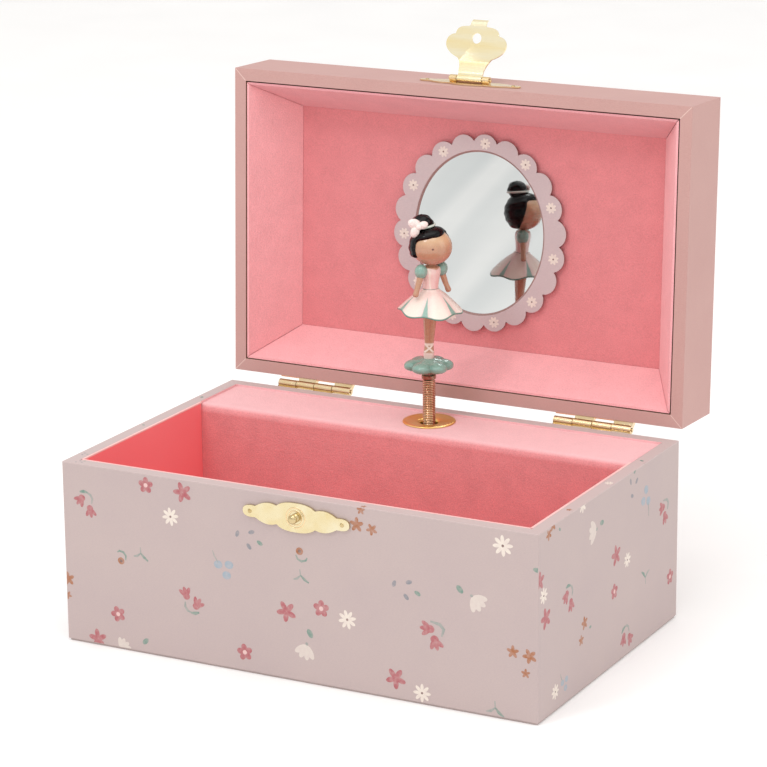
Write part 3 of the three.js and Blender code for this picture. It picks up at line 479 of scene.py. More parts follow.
def wrapped(rings):
    """A skin over rings of equal length, the last ring joined to the first."""
    points = [point for ring in rings for point in ring]
    count = len(rings[0])
    faces = []
    for index in range(len(rings)):
        here, there = index * count, (index + 1) % len(rings) * count
        for step in range(count):
            after = (step + 1) % count
            faces.append((here + step, there + step, there + after, here + after))
    return points, faces


def ring_turned(profile, steps):
    """As turned, for a profile that closes on itself away from the axis."""
    return wrapped([[(r * cos(a), r * sin(a), h) for r, h in profile] for a in angles(steps)])


def tube(path, radius, sides=10):
    """A closed round tube along points. radius is a number or a function of the share of the way."""
    path = [Vector(point) for point in path]
    rings = [[tuple(path[0])]]
    side = None
    for index, point in enumerate(path):
        ahead = path[min(index + 1, len(path) - 1)] - path[max(index - 1, 0)]
        ahead.normalize()
        if side is None:
            side = ahead.orthogonal().normalized()
        side = (side - ahead * side.dot(ahead)).normalized()
        across = ahead.cross(side)
        size = radius(index / (len(path) - 1)) if callable(radius) else radius
        rings.append([tuple(point + (side * cos(a) + across * sin(a)) * size) for a in angles(sides)])
    rings.append([tuple(path[-1])])
    return loft(rings)


def ball(centre, radii, steps):
    """An ellipsoid."""
    rows = steps // 2
    polars = [pi * row / rows for row in range(rows + 1)]
    profile = [(sin(polar) if 0 < polar < pi else 0, -cos(polar)) for polar in polars]

    def at(wide, angle, height):
        unit = (wide * cos(angle), wide * sin(angle), height)
        return tuple(middle + radius * part for middle, radius, part in zip(centre, radii, unit))

    return loft(spun(profile, steps, at))


def together(*shapes):
    """Several (points, faces) shapes as one."""
    points, faces = [], []
    for some_points, some_faces in shapes:
        start = len(points)
        points += some_points
        faces += [tuple(start + index for index in face) for face in some_faces]
    return points, faces


def prism(outline, low, high):
    """A flat outline given thickness, from one height to another."""
    count = len(outline)
    turning = sum(a[0] * b[1] - a[1] * b[0] for a, b in zip(outline[-1:] + outline, outline))
    if turning < 0:
        outline = outline[::-1]
    points = [(x, y, z) for z in (low, high) for x, y in outline]
    faces = [tuple(range(count, 2 * count)), tuple(reversed(range(count)))]
    for index in range(count):
        after = (index + 1) % count
        faces.append((index, after, count + after, count + index))
    return points, faces


def slab(low, high):
    """A plain block between two corners, for strips of card and paper."""
    return prism([low[:2], (high[0], low[1]), high[:2], (low[0], high[1])], low[2], high[2])


# ------------------------------------------------------------------ printed motifs
INK_COLOURS = {
    "red": (172, 90, 96), "rose": (226, 188, 184), "cream": (232, 221, 209), "brown": (112, 82, 74),
    "orange": (163, 101, 61), "green": (112, 142, 130), "sage": (146, 154, 148),
    "blue": (150, 166, 178), "slate": (132, 134, 140), "veil": (216, 204, 195),
    "line": (224, 193, 184),
}
INKS = {name: ink(f"ink_{name}", linear(*colour)) for name, colour in INK_COLOURS.items()}
INK_ORDER = list(INKS)


def petal(x, y, along, across, turn=0.0):
    """An oval outline, its long axis turned by turn degrees."""
    cosine, sine = cos(radians(turn)), sin(radians(turn))
    outline = []
    for angle in angles(14):
        u, v = along * cos(angle), across * sin(angle)
        outline.append((x + u * cosine - v * sine, y + u * sine + v * cosine))
    return outline


def petals(colour, foot, turns, reach, along, across):
    """Petals that point away from their foot, their middles reach away from it."""
    shapes = []
    for turn in turns:
        x, y = foot[0] + reach * cos(radians(turn)), foot[1] + reach * sin(radians(turn))
        shapes.append((petal(x, y, along, across, turn), colour))
    return shapes


def ring_of_petals(colour, count, reach, along, across):
    turns = [90 + 360 * index / count for index in range(count)]
    return petals(colour, (0, 0), turns, reach, along, across)


def stroke(points, width):
    """The outline of a brush stroke that thins at both ends."""
    left, right = [], []
    last = len(points) - 1
    for index, (x, y) in enumerate(points):
        before, after = points[max(index - 1, 0)], points[min(index + 1, last)]
        dx, dy = after[0] - before[0], after[1] - before[1]
        length = hypot(dx, dy)
        half = width / 2 * (0.45 + 0.55 * sin(pi * index / last))
        left.append((x - dy / length * half, y + dx / length * half))
        right.append((x + dy / length * half, y - dx / length * half))
    return left + right[::-1]


def daisy(reach, along, across, eye):
    ring = ring_of_petals("cream", 8, reach, along, across)
    return [*ring, (petal(0, 0, 0.9, 0.9), "cream"), (petal(0, 0, eye, eye), "brown")]


def bud(x, y, turn):
    """A tulip seen from the side: three petals that fan out from their foot."""
    turns = (turn - 38, turn, turn + 38)
    return [*petals("red", (x, y), turns, 1.3, 1.5, 0.62), (petal(x, y, 1.1, 1.0), "red")]


# Each motif is a list of (outline, ink), from the lowest to the topmost, in millimetres.
MOTIFS = {
    "star": ring_of_petals("red", 5, 1.5, 1.45, 0.75),
    "blossom": [
        *ring_of_petals("red", 5, 1.3, 0.95, 0.8),
        (petal(0, 0, 0.8, 0.8), "red"), (petal(0, 0, 0.6, 0.6), "rose"),
    ],
    "daisy": daisy(1.55, 1.05, 0.48, 0.34),
    "card_daisy": daisy(1.5, 1.15, 0.6, 0.42),
    "tulips": [
        *bud(-1.5, 0.2, 108), *bud(1.5, -2.2, 58),
        (stroke([(-1.9, -1.4), (-2.0, -2.8), (-1.2, -3.9), (0.2, -4.3)], 0.7), "sage"),
        (stroke([(-0.2, -4.3), (1.2, -4.3), (2.4, -3.9)], 1.0), "green"),
    ],
    "hanging_tulips": [
        *bud(0.9, 0.4, 180), *bud(2.0, -2.0, -72),
        (stroke([(0.9, 2.3), (3.4, 1.9), (4.4, 0.8), (3.9, -1.0)], 0.9), "sage"),
    ],
    "dashes": [
        (petal(-3.8, 0.8, 0.95, 0.55, 70), "slate"), (petal(0.4, 1.8, 0.95, 0.55, 20), "slate"),
        (petal(2.8, -0.8, 0.95, 0.55, -30), "green"), (petal(-0.4, -2.2, 0.95, 0.55, -50), "slate"),
    ],
    "berries": [
        *((petal(x, y, 1.4, 1.2), "blue") for x, y in [(-1.8, 0.4), (1.7, 0.8), (0.9, -2.4)]),
        (stroke([(-3.6, 4.4), (-3.0, 2.8), (-1.8, 0.9)], 0.42), "sage"),
    ],
    "button_bud": [
        (petal(0, 0, 1.15, 1.1), "orange"), (petal(0, 0, 0.55, 0.5), "brown"),
        (stroke([(-1.2, -1.2), (-0.6, -2.4), (0.6, -2.9), (2.0, -2.4), (2.4, -1.6)], 0.7), "green"),
    ],
    "twig": [
        (stroke([(0, 2.0), (0.1, 0.2)], 0.7), "sage"),
        (stroke([(0.1, 0.3), (-1.0, -0.6), (-2.2, -0.9)], 0.7), "sage"),
        (stroke([(0.1, 0.3), (1.1, -0.8), (2.4, -1.7)], 0.8), "green"),
    ],
    "small_star": ring_of_petals("orange", 5, 0.85, 0.9, 0.46),
    "fan": [
        *petals("veil", (-2.0, 1.7), (-2, -30, -60, -88), 2.3, 2.3, 1.0),
        (petal(-2.4, 2.0, 0.5, 0.4), "sage"),
    ],
    "leaf": [(petal(0, 0, 1.35, 0.8, 115), "green")],
}


def clipped(outline, low, high):
    """The part of an outline inside a rectangle, because the print runs off the paper's edge."""
    for axis, limit, sign in ((0, low[0], 1), (0, high[0], -1), (1, low[1], 1), (1, high[1], -1)):
        kept = []
        for index, point in enumerate(outline):
            before = outline[index - 1]
            inside, was_inside = (point[axis] - limit) * sign >= 0, (before[axis] - limit) * sign >= 0
            if inside != was_inside:
                share = (limit - before[axis]) / (point[axis] - before[axis])
                kept.append(tuple(b + (p - b) * share for b, p in zip(before, point)))
            if inside:
                kept.append(point)
        outline = kept
        if len(outline) < 3:
            return []
    return outline


def print_on(
    name, origin, right, up, low, high, motifs, body="base", slot="printed_paper", place=IDENTITY
):
    """Prints motifs, each (kind, x, y, turn, size), on the plane through origin, between the corners
    low and high. Every shape is a thin closed prism, a little higher than the one before it."""
    origin, right, up = Vector(origin), Vector(right), Vector(up)
    outward = right.cross(up)
    shapes, indices = [], []
    for kind, x, y, turn, size in motifs:
        cosine, sine = cos(radians(turn)) * size, sin(radians(turn)) * size
        for level, (outline, colour) in enumerate(MOTIFS[kind]):
            moved = [(x + u * cosine - v * sine, y + u * sine + v * cosine) for u, v in outline]
            moved = clipped(moved, low, high)
            if moved:
                points, faces = prism(moved, -0.03, 0.02 + 0.004 * level)
                shapes.append(([origin + right * u + up * v + outward * z for u, v, z in points], faces))
                indices += [INK_ORDER.index(colour)] * len(faces)
    inks = list(INKS.values())
    build(name, *together(*shapes), inks, body, slot, False, place, indices=indices)


# Each motif's (x, y, turn, size): on the front, millimetres from the middle and up from the table.
FRONT_PRINT = {
    "tulips": [(-81, 50, 172, 1.2), (-39.6, 23.4, 0, 1.25)],
    "blossom": [(-56.5, 61, 0, 1.3), (-69.2, 12.8, 20, 1.3), (-19, 7.2, 10, 1.35), (10.7, 27.5, 0, 1.35)],
    "star": [(-42, 60.5, 20, 1.25), (-77.8, 2.4, 8, 1.25), (-2.6, 24.4, 30, 1.3), (38.4, 7.6, 38, 1.3)],
    "daisy": [(-47, 51.2, 10, 1.25), (20.5, 25.2, 15, 1.3), (77.4, 59.4, 5, 1.4), (48.1, 4.1, 0, 1.25)],
    "dashes": [(-16, 48, 0, 1.3), (43, 39.5, 0, 1.3)],
    "button_bud": [(-67.3, 32.4, 150, 1.15), (2.8, 46.4, 0, 1.2)],
    "twig": [(-59.4, 36, 0, 1.25), (3, 37.6, 5, 1.25), (74.6, 3.2, 0, 1.4)],
    "berries": [(-26.5, 36.5, 0, 1.2)],
    "small_star": [
        (-89.2, 22.6, 10, 1.5), (-89.6, 16.6, 40, 0.9), (24.4, 58.8, 0, 1.5), (30, 57.9, 30, 1.2),
        (26, 64, 0, 0.9), (81, 24, 0, 1.3), (87, 23.4, 25, 1.5), (85.6, 17.3, 0, 0.95),
    ],
    "fan": [(-67.2, 2.4, 100, 0.9), (4.4, 10.6, -60, 1.15), (69, 38.5, 0, 1.15)],
    "leaf": [(-58.4, 4.6, 110, 1.1), (6.3, 18, 5, 1.25), (62, 42.3, 15, 1.2), (89.4, 53, 60, 1)],
    "hanging_tulips": [(50, 26.4, 0, 1.4)],
}
# On the right side: millimetres towards the back from the middle, and up from the table.
RIGHT_PRINT = {
    "small_star": [
        (-46.6, 65.2, 0, 1.4), (-49.8, 62.6, 30, 1.15), (-21.4, 23.5, 10, 1.4), (-24, 18.2, 0, 1.1),
    ],
    "leaf": [(-41.4, 62, 30, 0.64), (-8, 54.4, 60, 1.15), (-16.7, 20.6, 60, 0.64)],
    "fan": [(-16, 53, -135, 1.25)],
    "daisy": [
        (-23.6, 65.2, 0, 1.15), (13.5, 34.8, 12, 1.05), (-44.3, 7.2, 0, 1.05), (-53.5, 43.2, 0, 1.1),
    ],
    "berries": [(-37, 8, 0, 0.9), (29, 52, 160, 1.28)],
    "dashes": [(18, 61.3, 90, 1.28)],
    "hanging_tulips": [(43, 44, 0, 1.3)],
    "star": [(4, 39.3, 10, 1.3), (-51.8, 35, 15, 1.3), (-56.5, 49, 0, 1.15)],
    "tulips": [(-34.2, 35, 170, 1.28), (14, 6, 200, 1.28)],
    "blossom": [(2.8, 26.8, 0, 1.25), (51.2, 17, 0, 1.3)],
    "twig": [(29.5, 24, 180, 1.47)],
}


def listed(table):
    """A table by kind, in the form that print_on takes."""
    return [(kind, *spot) for kind, spots in table.items() for spot in spots]


def scattered(seed, half):
    """An even scatter of motifs over a wall that nobody has seen."""
    chance = random.Random(seed)
    kinds = "star daisy tulips dashes blossom fan small_star berries button_bud twig".split()
    motifs = []
    for row in range(4):
        column = -half + (4 if row % 2 else 11)
        while column < half:
            x, y = column + chance.uniform(-3, 3), 8 + row * 16.5 + chance.uniform(-3, 3)
            kind = chance.choice(kinds)
            motifs.append((kind, x, y, chance.uniform(-60, 200), chance.uniform(1.15, 1.35)))
            column += 15
    return motifs


HINGE_X = 56
KEY_Z = 17.5
WALL_FOOT = 0.9
INSET = 0.2


def bare(motif):
    """True where the back is free of the hinges and of the key's collar."""
    _, x, y, _, _ = motif
    return (abs(abs(x) - HINGE_X) > 20 or y < 46) and hypot(x, y - KEY_Z) > 11


for name, origin, right, half, motifs in (
    ("print_front", (0, FRONT, 0), (1, 0, 0), SIDE, listed(FRONT_PRINT)),
    ("print_right", (SIDE, 0, 0), (0, 1, 0), -FRONT, listed(RIGHT_PRINT)),
    ("print_left", (-SIDE, 0, 0), (0, -1, 0), -FRONT, scattered(3, 57)),
    ("print_back", (0, -FRONT, 0), (-1, 0, 0), SIDE, filter(bare, scattered(8, 90))),
):
    print_on(name, origin, right, (0, 0, 1), (INSET - half, WALL_FOOT), (half - INSET, RIM - INSET), motifs)
for name, low, high, motifs in (
    (
        "print_rim_front", (INSET - SIDE, FRONT + INSET), (SIDE - INSET, FRONT + 4.3),
        [("dashes", -84, FRONT + 2.6, 60, 0.45), ("small_star", 26.5, FRONT + 1, 0, 0.6)],
    ),
    (
        "print_rim_left", (INSET - SIDE, FRONT + 4.6), (4.3 - SIDE, -FRONT - INSET),
        [("dashes", -88, -47, 20, 0.5), ("leaf", -87.8, 32, 0, 0.7), ("leaf", -88, -8, 40, 0.5)],
    ),
    (
        "print_rim_right", (SIDE - 4.3, FRONT + 4.6), (SIDE - INSET, -FRONT - INSET),
        [("leaf", 87.8, 30, 30, 0.7), ("small_star", 88, -30, 0, 0.6), ("daisy", 88, 2, 0, 0.6)],
    ),
):
    print_on(name, (0, 0, RIM), (1, 0, 0), (0, 1, 0), low, high, motifs)


# ------------------------------------------------------------------ lid: mitres, mirror frame
def mitre_lines():
    """The mitre joins of the lid's paper at the corners of its rim, drawn as pale lines: partly the join,
    partly a painted highlight along it.
    """
    shapes = []
    for side in (-1, 1):
        for end_y, way in ((LID_FRONT, 1), (LID_BACK, -1)):
            corner = Vector((side * (SIDE - 0.3), end_y + way * 0.3))
            inner = Vector((side * (SIDE - 4.5), end_y + way * 4.5))
            across = (inner - corner).orthogonal().normalized() * 0.14
            outline = [corner + across, corner - across, inner - across, inner + across]
            shapes.append(prism(outline, LID_RIM - 0.03, LID_RIM + 0.03))
    # Painted highlight: the pale ink along each mitre.
    build("lid_mitre_lines", *together(*shapes), INKS["line"], "lid", "lid_paper", False, LID)


mitre_lines()

SCALLOPS = 22
# The card's visible face and its back, as heights in the shut lid.
FRAME_FACE = 17.8
FRAME_BACK = 18.4
# The mirror is glued in by hand, a little off the lid's middle and askew.
MIRROR = shift(1.3, LID_MIDDLE - 0.9, 0) @ turn_about("Z", 3.4)


def inner_edges():
    """The lining card's pale edge round the compartment, and the velvet turned up round the deck."""
    edge = together(
        slab((-84.9, -52.98, 64.5), (84.9, -52.1, 64.96)),
        slab((-85.48, -52.1, 64.5), (-84.6, 26.8, 64.96)),
        slab((84.6, -52.1, 64.5), (85.48, 26.8, 64.96)),
    )
    build("compartment_card_edge", *edge, CARD_EDGE, "base", "coral_lining", False)
    turned_up = together(
        slab((-85.44, 52.92, DECK - 0.3), (85.44, 52.99, 64.97)),
        slab((-85.49, 26.9, DECK - 0.3), (-85.42, 52.9, 64.97)),
        slab((85.42, 26.9, DECK - 0.3), (85.49, 52.9, 64.97)),
    )
    # Painted light: the turned-up velvet takes the deck velvet's paler lit colour over the rim's inner
    # face.
    build("deck_velvet_turned_up", *turned_up, DECK_VELVET, "base", "pale_velvet", False)
    # Painted shadow: dark strips where the partition meets the side walls, for its raw card edge and the
    # shade in those corners.
    edge_shadows = [slab((x - 0.25, 26.15, 4.2), (x + 0.25, 26.5, 61)) for x in (-85.15, 85.15)]
    build("partition_edge_shadows", *together(*edge_shadows), INKS["brown"], "base", "pale_velvet", False)


inner_edges()


def scallop(share):
    """The rise of a round scallop, at a share of the way across it."""
    width, rise = 9.7, 2.7
    radius = (width**2 / 4 + rise**2) / (2 * rise)
    return sqrt(radius**2 - (width * (share - 0.5)) ** 2) - (radius - rise)


def mirror_frame():
    """A scalloped oval of card with an oval opening, its cut edges darker than its face, partly as the
    card's own edge and partly as painted shade in the gap behind the card.
    """
    per_scallop = 12
    count = SCALLOPS * per_scallop
    directions = [(cos(angle), sin(angle)) for angle in angles(count)]
    rises = [scallop(step % per_scallop / per_scallop) for step in range(count)]

    def outer(inset, z):
        sizes = [(31.9 + rise - inset, 33.7 + rise - inset) for rise in rises]
        return [(a * x, b * y, z) for (x, y), (a, b) in zip(directions, sizes)]

    def inner(inset, z):
        return [((26 - inset) * x, (30.4 - inset) * y, z) for x, y in directions]

    levels = [
        outer(0, FRAME_FACE + 0.1), outer(0.08, FRAME_FACE), inner(-0.08, FRAME_FACE),
        inner(0, FRAME_FACE + 0.1), inner(0.7, FRAME_BACK + 0.08), outer(0, FRAME_BACK),
    ]
    # The first three bands are the face and its softened edges. The others are cut card, darkened also as
    # painted shade.
    indices = [0] * (3 * count) + [1] * (3 * count)
    looks = [FRAME_CARD, FRAME_EDGE_AND_SHADE]
    place = LID @ MIRROR
    build("mirror_frame_card", *wrapped(levels), looks, "lid", "frame_card", False, place,
          indices=indices, replaced="mirror_frame")
    motifs = []
    for index in range(1, SCALLOPS, 2):
        angle = tau * (index + 0.5) / SCALLOPS
        motifs.append(("card_daisy", 30.4 * cos(angle), 33.0 * sin(angle), index * 31 % 45, 0.8))
    print_on("mirror_frame_daisies", (0, 0, FRAME_FACE), (1, 0, 0), (0, -1, 0), (-40, -45), (40, 45),
             motifs, "lid", "frame_card", place)


mirror_frame()


# ------------------------------------------------------------------ small brass pieces
def dome(radius, height):
    """A nail's round head, rising along +Z."""
    profile = [(0, -0.1), (radius, -0.1)]
    for step in range(5):
        angle = pi / 2 * step / 5
        profile.append((radius * cos(angle), height * sin(angle)))
    return turned([*profile, (0, height)], 20)


def facing(point, normal):
    """The matrix that stands a piece drawn along +Z at a point, in millimetres, along a normal."""
    return shift(*point) @ Vector(normal).to_track_quat("Z", "Y").to_matrix().to_4x4()


def nails(name, body, spots, normal, radius=0.8, place=IDENTITY):
    shapes = []
    for spot in spots:
        points, faces = dome(radius, 0.35)
        stand = facing(spot, normal)
        shapes.append(([tuple((stand @ (Vector(p) * MM)) / MM) for p in points], faces))
    build(name, *together(*shapes), SHADED_BRASS, body, "pale_brass", True, place)


CLASP_X = 2.0
CLASP_Z = RIM - 6.9
clasp_spots = [(CLASP_X + step, FRONT - 0.85, CLASP_Z) for step in (-17.4, 17.4)]
hasp_spots = [(CLASP_X + step, LID_FRONT - 0.55, LID_RIM + 7.5) for step in (-16.9, 16.9)]
hinge_spots = [side * HINGE_X + step for side in (-1, 1) for step in (-11, 0, 11)]
nails("clasp_nails", "base", clasp_spots, (0, -1, 0))
nails("hasp_nails", "lid", hasp_spots, (0, -1, 0), place=LID)
nails("hinge_base_nails", "base", [(x, 58.3, 57.6) for x in hinge_spots], (0, 1, 0), 1.0)
nails("hinge_lid_nails", "lid", [(x, LID_BACK + 0.8, 8) for x in hinge_spots], (0, 1, 0), 1.0, LID)


def clasp_knob():
    """The turned knob, and the low ring pressed into the plate round it."""
    profile = [
        (0, 0.95), (1.5, 0.95), (1.52, 1.3), (1.3, 1.5), (1.06, 1.7), (1.05, 2.0), (1.25, 2.25),
        (1.52, 2.5), (1.6, 2.85), (1.56, 3.2), (1.34, 3.55), (0.95, 3.82), (0.5, 3.95), (0, 4),
    ]
    place = facing((CLASP_X, FRONT, CLASP_Z), (0, -1, 0))
    shape = turned(profile, 48)
    build("clasp_knob_turned", *shape, SHADED_BRASS, "base", "pale_brass", place=place, replaced="clasp_knob")
    for name, radius in (("clasp_ring_inner", 2.5), ("clasp_ring_outer", 3.5)):
        ring = [(radius - 0.32, 0.8), (radius + 0.32, 0.8), (radius + 0.2, 0.98), (radius - 0.2, 0.98)]
        build(name, *ring_turned(ring, 48), PALE_BRASS, "base", "pale_brass", True, place)


clasp_knob()


def escutcheon():
    """The dished brass ring round the spindle."""
    profile = [
        (3.3, -1.6), (4.7, -1.6), (4.7, 0.1), (9.3, 0.1), (9.5, 0.2), (9.42, 0.4), (9.1, 0.54), (8.6, 0.6),
        (8.1, 0.58), (7.4, 0.46), (6.4, 0.34), (5.3, 0.26), (4.3, 0.08), (3.35, -0.3),
    ]
    place = Matrix.Translation(SPINDLE) @ shift(0, 0, DECK)
    build("escutcheon_dished", *ring_turned(profile, 96), GILT, "base", "gold_brass", place=place,
          replaced="escutcheon_ring")


escutcheon()


def coil():
    """The close-wound wire spring between the base and the dancer's cup."""
    pitch, wire, radius = 0.64, 0.33, 2.02
    low, high = 60.5, 79.7
    turns = (high - low) / pitch
    steps = int(turns * 24)
    path = []
    for step in range(steps + 1):
        share = step / steps
        angle = share * turns * tau
        path.append((radius * cos(angle), radius * sin(angle), low + (high - low) * share))
    place = Matrix.Translation(SPINDLE)
    spring = build("spring_wire", *tube(path, wire, 6), COPPER, None, "copper_spring", True, place)
    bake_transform(spring)
    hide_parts("coil_spring")


coil()


# ------------------------------------------------------------------ the dancer
TURN = Matrix.Translation(SPINDLE) @ turn_about("Z", 30)
FOOT = shift(0, 0, 87.8)
# The casting leans a little to its left, and the shoulders are turned from the way it faces.
DANCER = TURN @ FOOT @ turn_about("Y", 1.8) @ FOOT.inverted()
SHOULDERS = DANCER @ turn_about("Z", 36)
# The paler skin is painted light for the top of the head; PINK_SKIN also serves as painted shade under the
# chin and between the legs.
SKIN = linear(194, 148, 118)
LIT_SKIN = linear(214, 174, 136)
PINK_SKIN = linear(186, 124, 106)
SAGE = linear(136, 174, 160)
# DARK_SAGE also serves as painted shade, in the flower's valleys and under the sleeves.
DARK_SAGE = linear(104, 142, 128)
CREAM = linear(246, 234, 220)
BLUSH = linear(243, 212, 204)
SHOE = linear(242, 212, 202)


def painted(name, shape, colour_at, replaced=None, place=DANCER, slot="pale_resin"):
    """A dancer's piece whose colour is worked out for each point."""
    paint = [colour_at(*point) for point in shape[0]]
    return build(name, *shape, PAINTED_RESIN, "dancer", slot, True, place, paint, replaced=replaced)


LOBES = 6
LOBE_OUT = 5.1
LOBE = 3.7
PAD = 4.6
FLOWER_MIDDLE = 84.9


def flower_height(x, y, lobe_rise, pad_rise):
    """Six domes in a ring round a central one, blended."""
    nearest = min(hypot(x - LOBE_OUT * cos(a), y - LOBE_OUT * sin(a)) for a in angles(LOBES))
    lobe = lobe_rise * sqrt(max(0.0, 1 - (nearest / (LOBE + 0.05)) ** 2))
    pad = pad_rise * sqrt(max(0.0, 1 - (hypot(x, y) / PAD) ** 2))
    return (lobe**3 + pad**3) ** (1 / 3)


def flower_shape():
    """The base cast as a flower, drawn in rings that follow its lobed edge."""
    around, across = 180, 18
    edges = []
    for angle in angles(around):
        off = remainder(angle, tau / LOBES)
        edges.append((angle, LOBE_OUT * cos(off) + sqrt(LOBE**2 - (LOBE_OUT * sin(off)) ** 2)))
    rings = [[(0, 0, FLOWER_MIDDLE - 1.5)]]
    for side, rows in ((-1, range(1, across)), (1, range(across - 1, 0, -1))):
        for row in rows:
            share = sin(pi / 2 * row / (across - 1))
            ring = []
            for angle, edge in edges:
                x, y = edge * share * cos(angle), edge * share * sin(angle)
                rise = flower_height(x, y, 2.1, 2.75) if side > 0 else -flower_height(x, y, 1.7, 1.5)
                ring.append((x, y, FLOWER_MIDDLE + rise + side * 0.12))
            rings.append(ring)
    rings.append([(0, 0, FLOWER_MIDDLE + 2.87)])
    return loft(rings)


def flower_colour(x, y, z):
    angle = atan2(y, x)
    # Painted shade: darker in the valleys between the lobes, more so towards the edge.
    valley_shade = abs(sin(LOBES / 2 * angle)) ** 8 * smoothstep(3, 7, hypot(x, y))
    return mix(SAGE, DARK_SAGE, 0.7 * valley_shade)


painted("flower_base", flower_shape(), flower_colour, "dancer_flower_base", TURN, "green_resin")


def leg_shape():
    """Two legs cast together, on pointe."""
    profile = [
        (0, 87.0), (1.5, 87.2), (1.75, 88.2), (1.85, 89.3), (1.66, 90.6), (1.52, 92), (1.56, 93.5),
        (1.74, 96), (2.0, 99), (2.26, 102), (2.5, 105), (2.7, 108.6), (0, 109.2),
    ]

    def at(radius, angle, height):
        split = 1 + 0.06 * cos(2 * angle) - 0.10 * abs(sin(angle)) ** 24
        return (radius * split * cos(angle), radius * split * sin(angle) * 0.92, height)

    return subdivided(spun(profile, 48, at))


def subdivided(rings):
    """A skin over the rings, with more between them, so that paint has somewhere to lie."""
    times = 5
    made = []
    for low, high in zip(rings, rings[1:]):
        made.append(low)
        if len(low) == len(high):
            for step in range(1, times):
                made.append([mix(p, q, step / times) for p, q in zip(low, high)])
    return loft([*made, rings[-1]])


def leg_colour(x, y, z):
    colour = mix(SHOE, SKIN, smoothstep(89.6, 90.0, z))
    if 89.9 < z < 93.4:
        for way in (-1, 1):
            band = abs(x - way * (z - 91.5) * 1.1)
            colour = mix(CREAM, colour, smoothstep(0.3, 0.55, band))
        colour = mix(CREAM, colour, smoothstep(0.25, 0.45, abs(z - 92.9)))
    # Painted shade in the crease down the front of the legs.
    seam_and_crease_shade = smoothstep(0.42, 0.1, abs(x)) * smoothstep(93, 95, z) * (1 if y < 0 else 0)
    return mix(colour, PINK_SKIN, 0.55 * seam_and_crease_shade)


PLEATS = 6
FIRST_PLEAT = radians(-103)
HEM = 11.35


def pleat_offset(angle):
    """Degrees to the nearest green stripe."""
    step = tau / PLEATS
    away = (angle - FIRST_PLEAT) / step
    return abs(away - round(away)) * 360 / PLEATS


def pleat_wave(angle):
    return cos(PLEATS * (angle - FIRST_PLEAT))


def hem_lift(angle):
    """How far the hem stands above its lowest: at the pleats, and to either side."""
    return 0.42 * pleat_wave(angle) + 0.9 * cos(angle) ** 2


def skirt_shape():
    """The flared skirt, drawn up the inside from the waist, round the hem and up the outside."""
    profile = [
        (0, 108.7), (3.2, 108.5), (6.5, 107.6), (9.4, 106.1), (10.9, 104.8), (11.3, 104.45), (HEM, 104.7),
        (10.9, 105.3), (9.9, 106.4), (8.3, 108.2), (6.4, 110.1), (4.6, 111.6), (3.3, 112.6), (3.0, 113.1),
        (0, 113.3),
    ]

    def at(radius, angle, height):
        full = (radius / HEM) ** 2
        r = radius * (1 - 0.035 * full * pleat_wave(angle))
        return (r * cos(angle), r * sin(angle), height + full * hem_lift(angle))

    return subdivided(spun(profile, 192, at))


def skirt_colour(x, y, z):
    radius, angle = hypot(x, y), atan2(y, x)
    down = smoothstep(3.4, 11.3, radius)
    away = pleat_offset(angle)
    panel = mix(BLUSH, CREAM, smoothstep(4, 19, away) * (0.35 + 0.65 * down))
    half = 1.0 + 5.0 * smoothstep(4.6, 11.3, radius)
    stripe = (1 - smoothstep(half - 0.9, half + 0.9, away)) * smoothstep(4.8, 6.2, radius)
    colour = mix(panel, SAGE, stripe)
    edge = smoothstep(10.6, 10.7, radius) * (z < 104.98 + hem_lift(angle))
    return mix(colour, DARK_SAGE, edge)


def bodice_shape():
    profile = [
        (0, 112.3), (2.9, 112.4), (3.1, 113.0), (2.95, 113.5), (3.0, 115), (3.3, 117.2), (3.65, 119.0),
        (3.6, 120.2), (3.1, 121.1), (1.9, 121.5), (1.55, 122.0), (1.5, 122.8), (0, 123.2),
    ]
    return subdivided(spun(profile, 64, lambda r, a, h: (r * cos(a), 0.82 * r * sin(a), h)))


def bodice_colour(x, y, z):
    colour = mix(BLUSH, linear(242, 200, 194), smoothstep(121, 114, z))
    seam_and_crease_shade = smoothstep(0.4, 0.15, abs(abs(x) - 1.7 - 0.12 * (z - 113)))
    colour = mix(colour, CREAM, 0.8 * seam_and_crease_shade)
    colour = mix(colour, linear(150, 150, 142), smoothstep(0.3, 0.1, abs(z - 113.15)))
    neckline = 120.9 - 0.5 * smoothstep(2.2, 0, abs(x))
    return mix(colour, SKIN, smoothstep(neckline - 0.15, neckline + 0.15, z))


def arm_path(side):
    knots = [
        (4.3, 0, 119.6), (5.1, -0.2, 117.6), (5.8, -0.4, 115.8), (6.4, -0.5, 114.2), (7.0, -0.7, 112.9),
        (7.4, -0.8, 111.9), (7.7, -0.9, 111.1),
    ]
    return [(side * x, y, z) for x, y, z in knots]


def arm_size(share):
    """The arm thins to the wrist, widens at the hand and closes at the fingertips."""
    wrist, hand, tips = smoothstep(0, 0.75, share), smoothstep(0.75, 0.9, share), smoothstep(0.93, 1, share)
    return 1.2 - 0.3 * wrist + 0.42 * hand - 0.5 * tips


def arm_colour(x, y, z):
    return mix(SKIN, PINK_SKIN, smoothstep(113, 110, z))


def sleeve_shape(middle):
    """A puffed sleeve, gathered round its lower edge."""
    points, faces = ball((middle, 0, 119.8), (2.3, 2.3, 2.55), 40)
    made = []
    for x, y, z in points:
        gather = abs(sin(6 * atan2(y, x - middle))) * smoothstep(118.8, 117.6, z)
        made.append((x, y, z - 0.18 * gather))
    return made, faces


def sleeve_colour(x, y, z):
    # Painted shade on the gathered underside of the sleeve.
    return mix(SAGE, DARK_SAGE, 0.6 * smoothstep(118.6, 117.4, z))


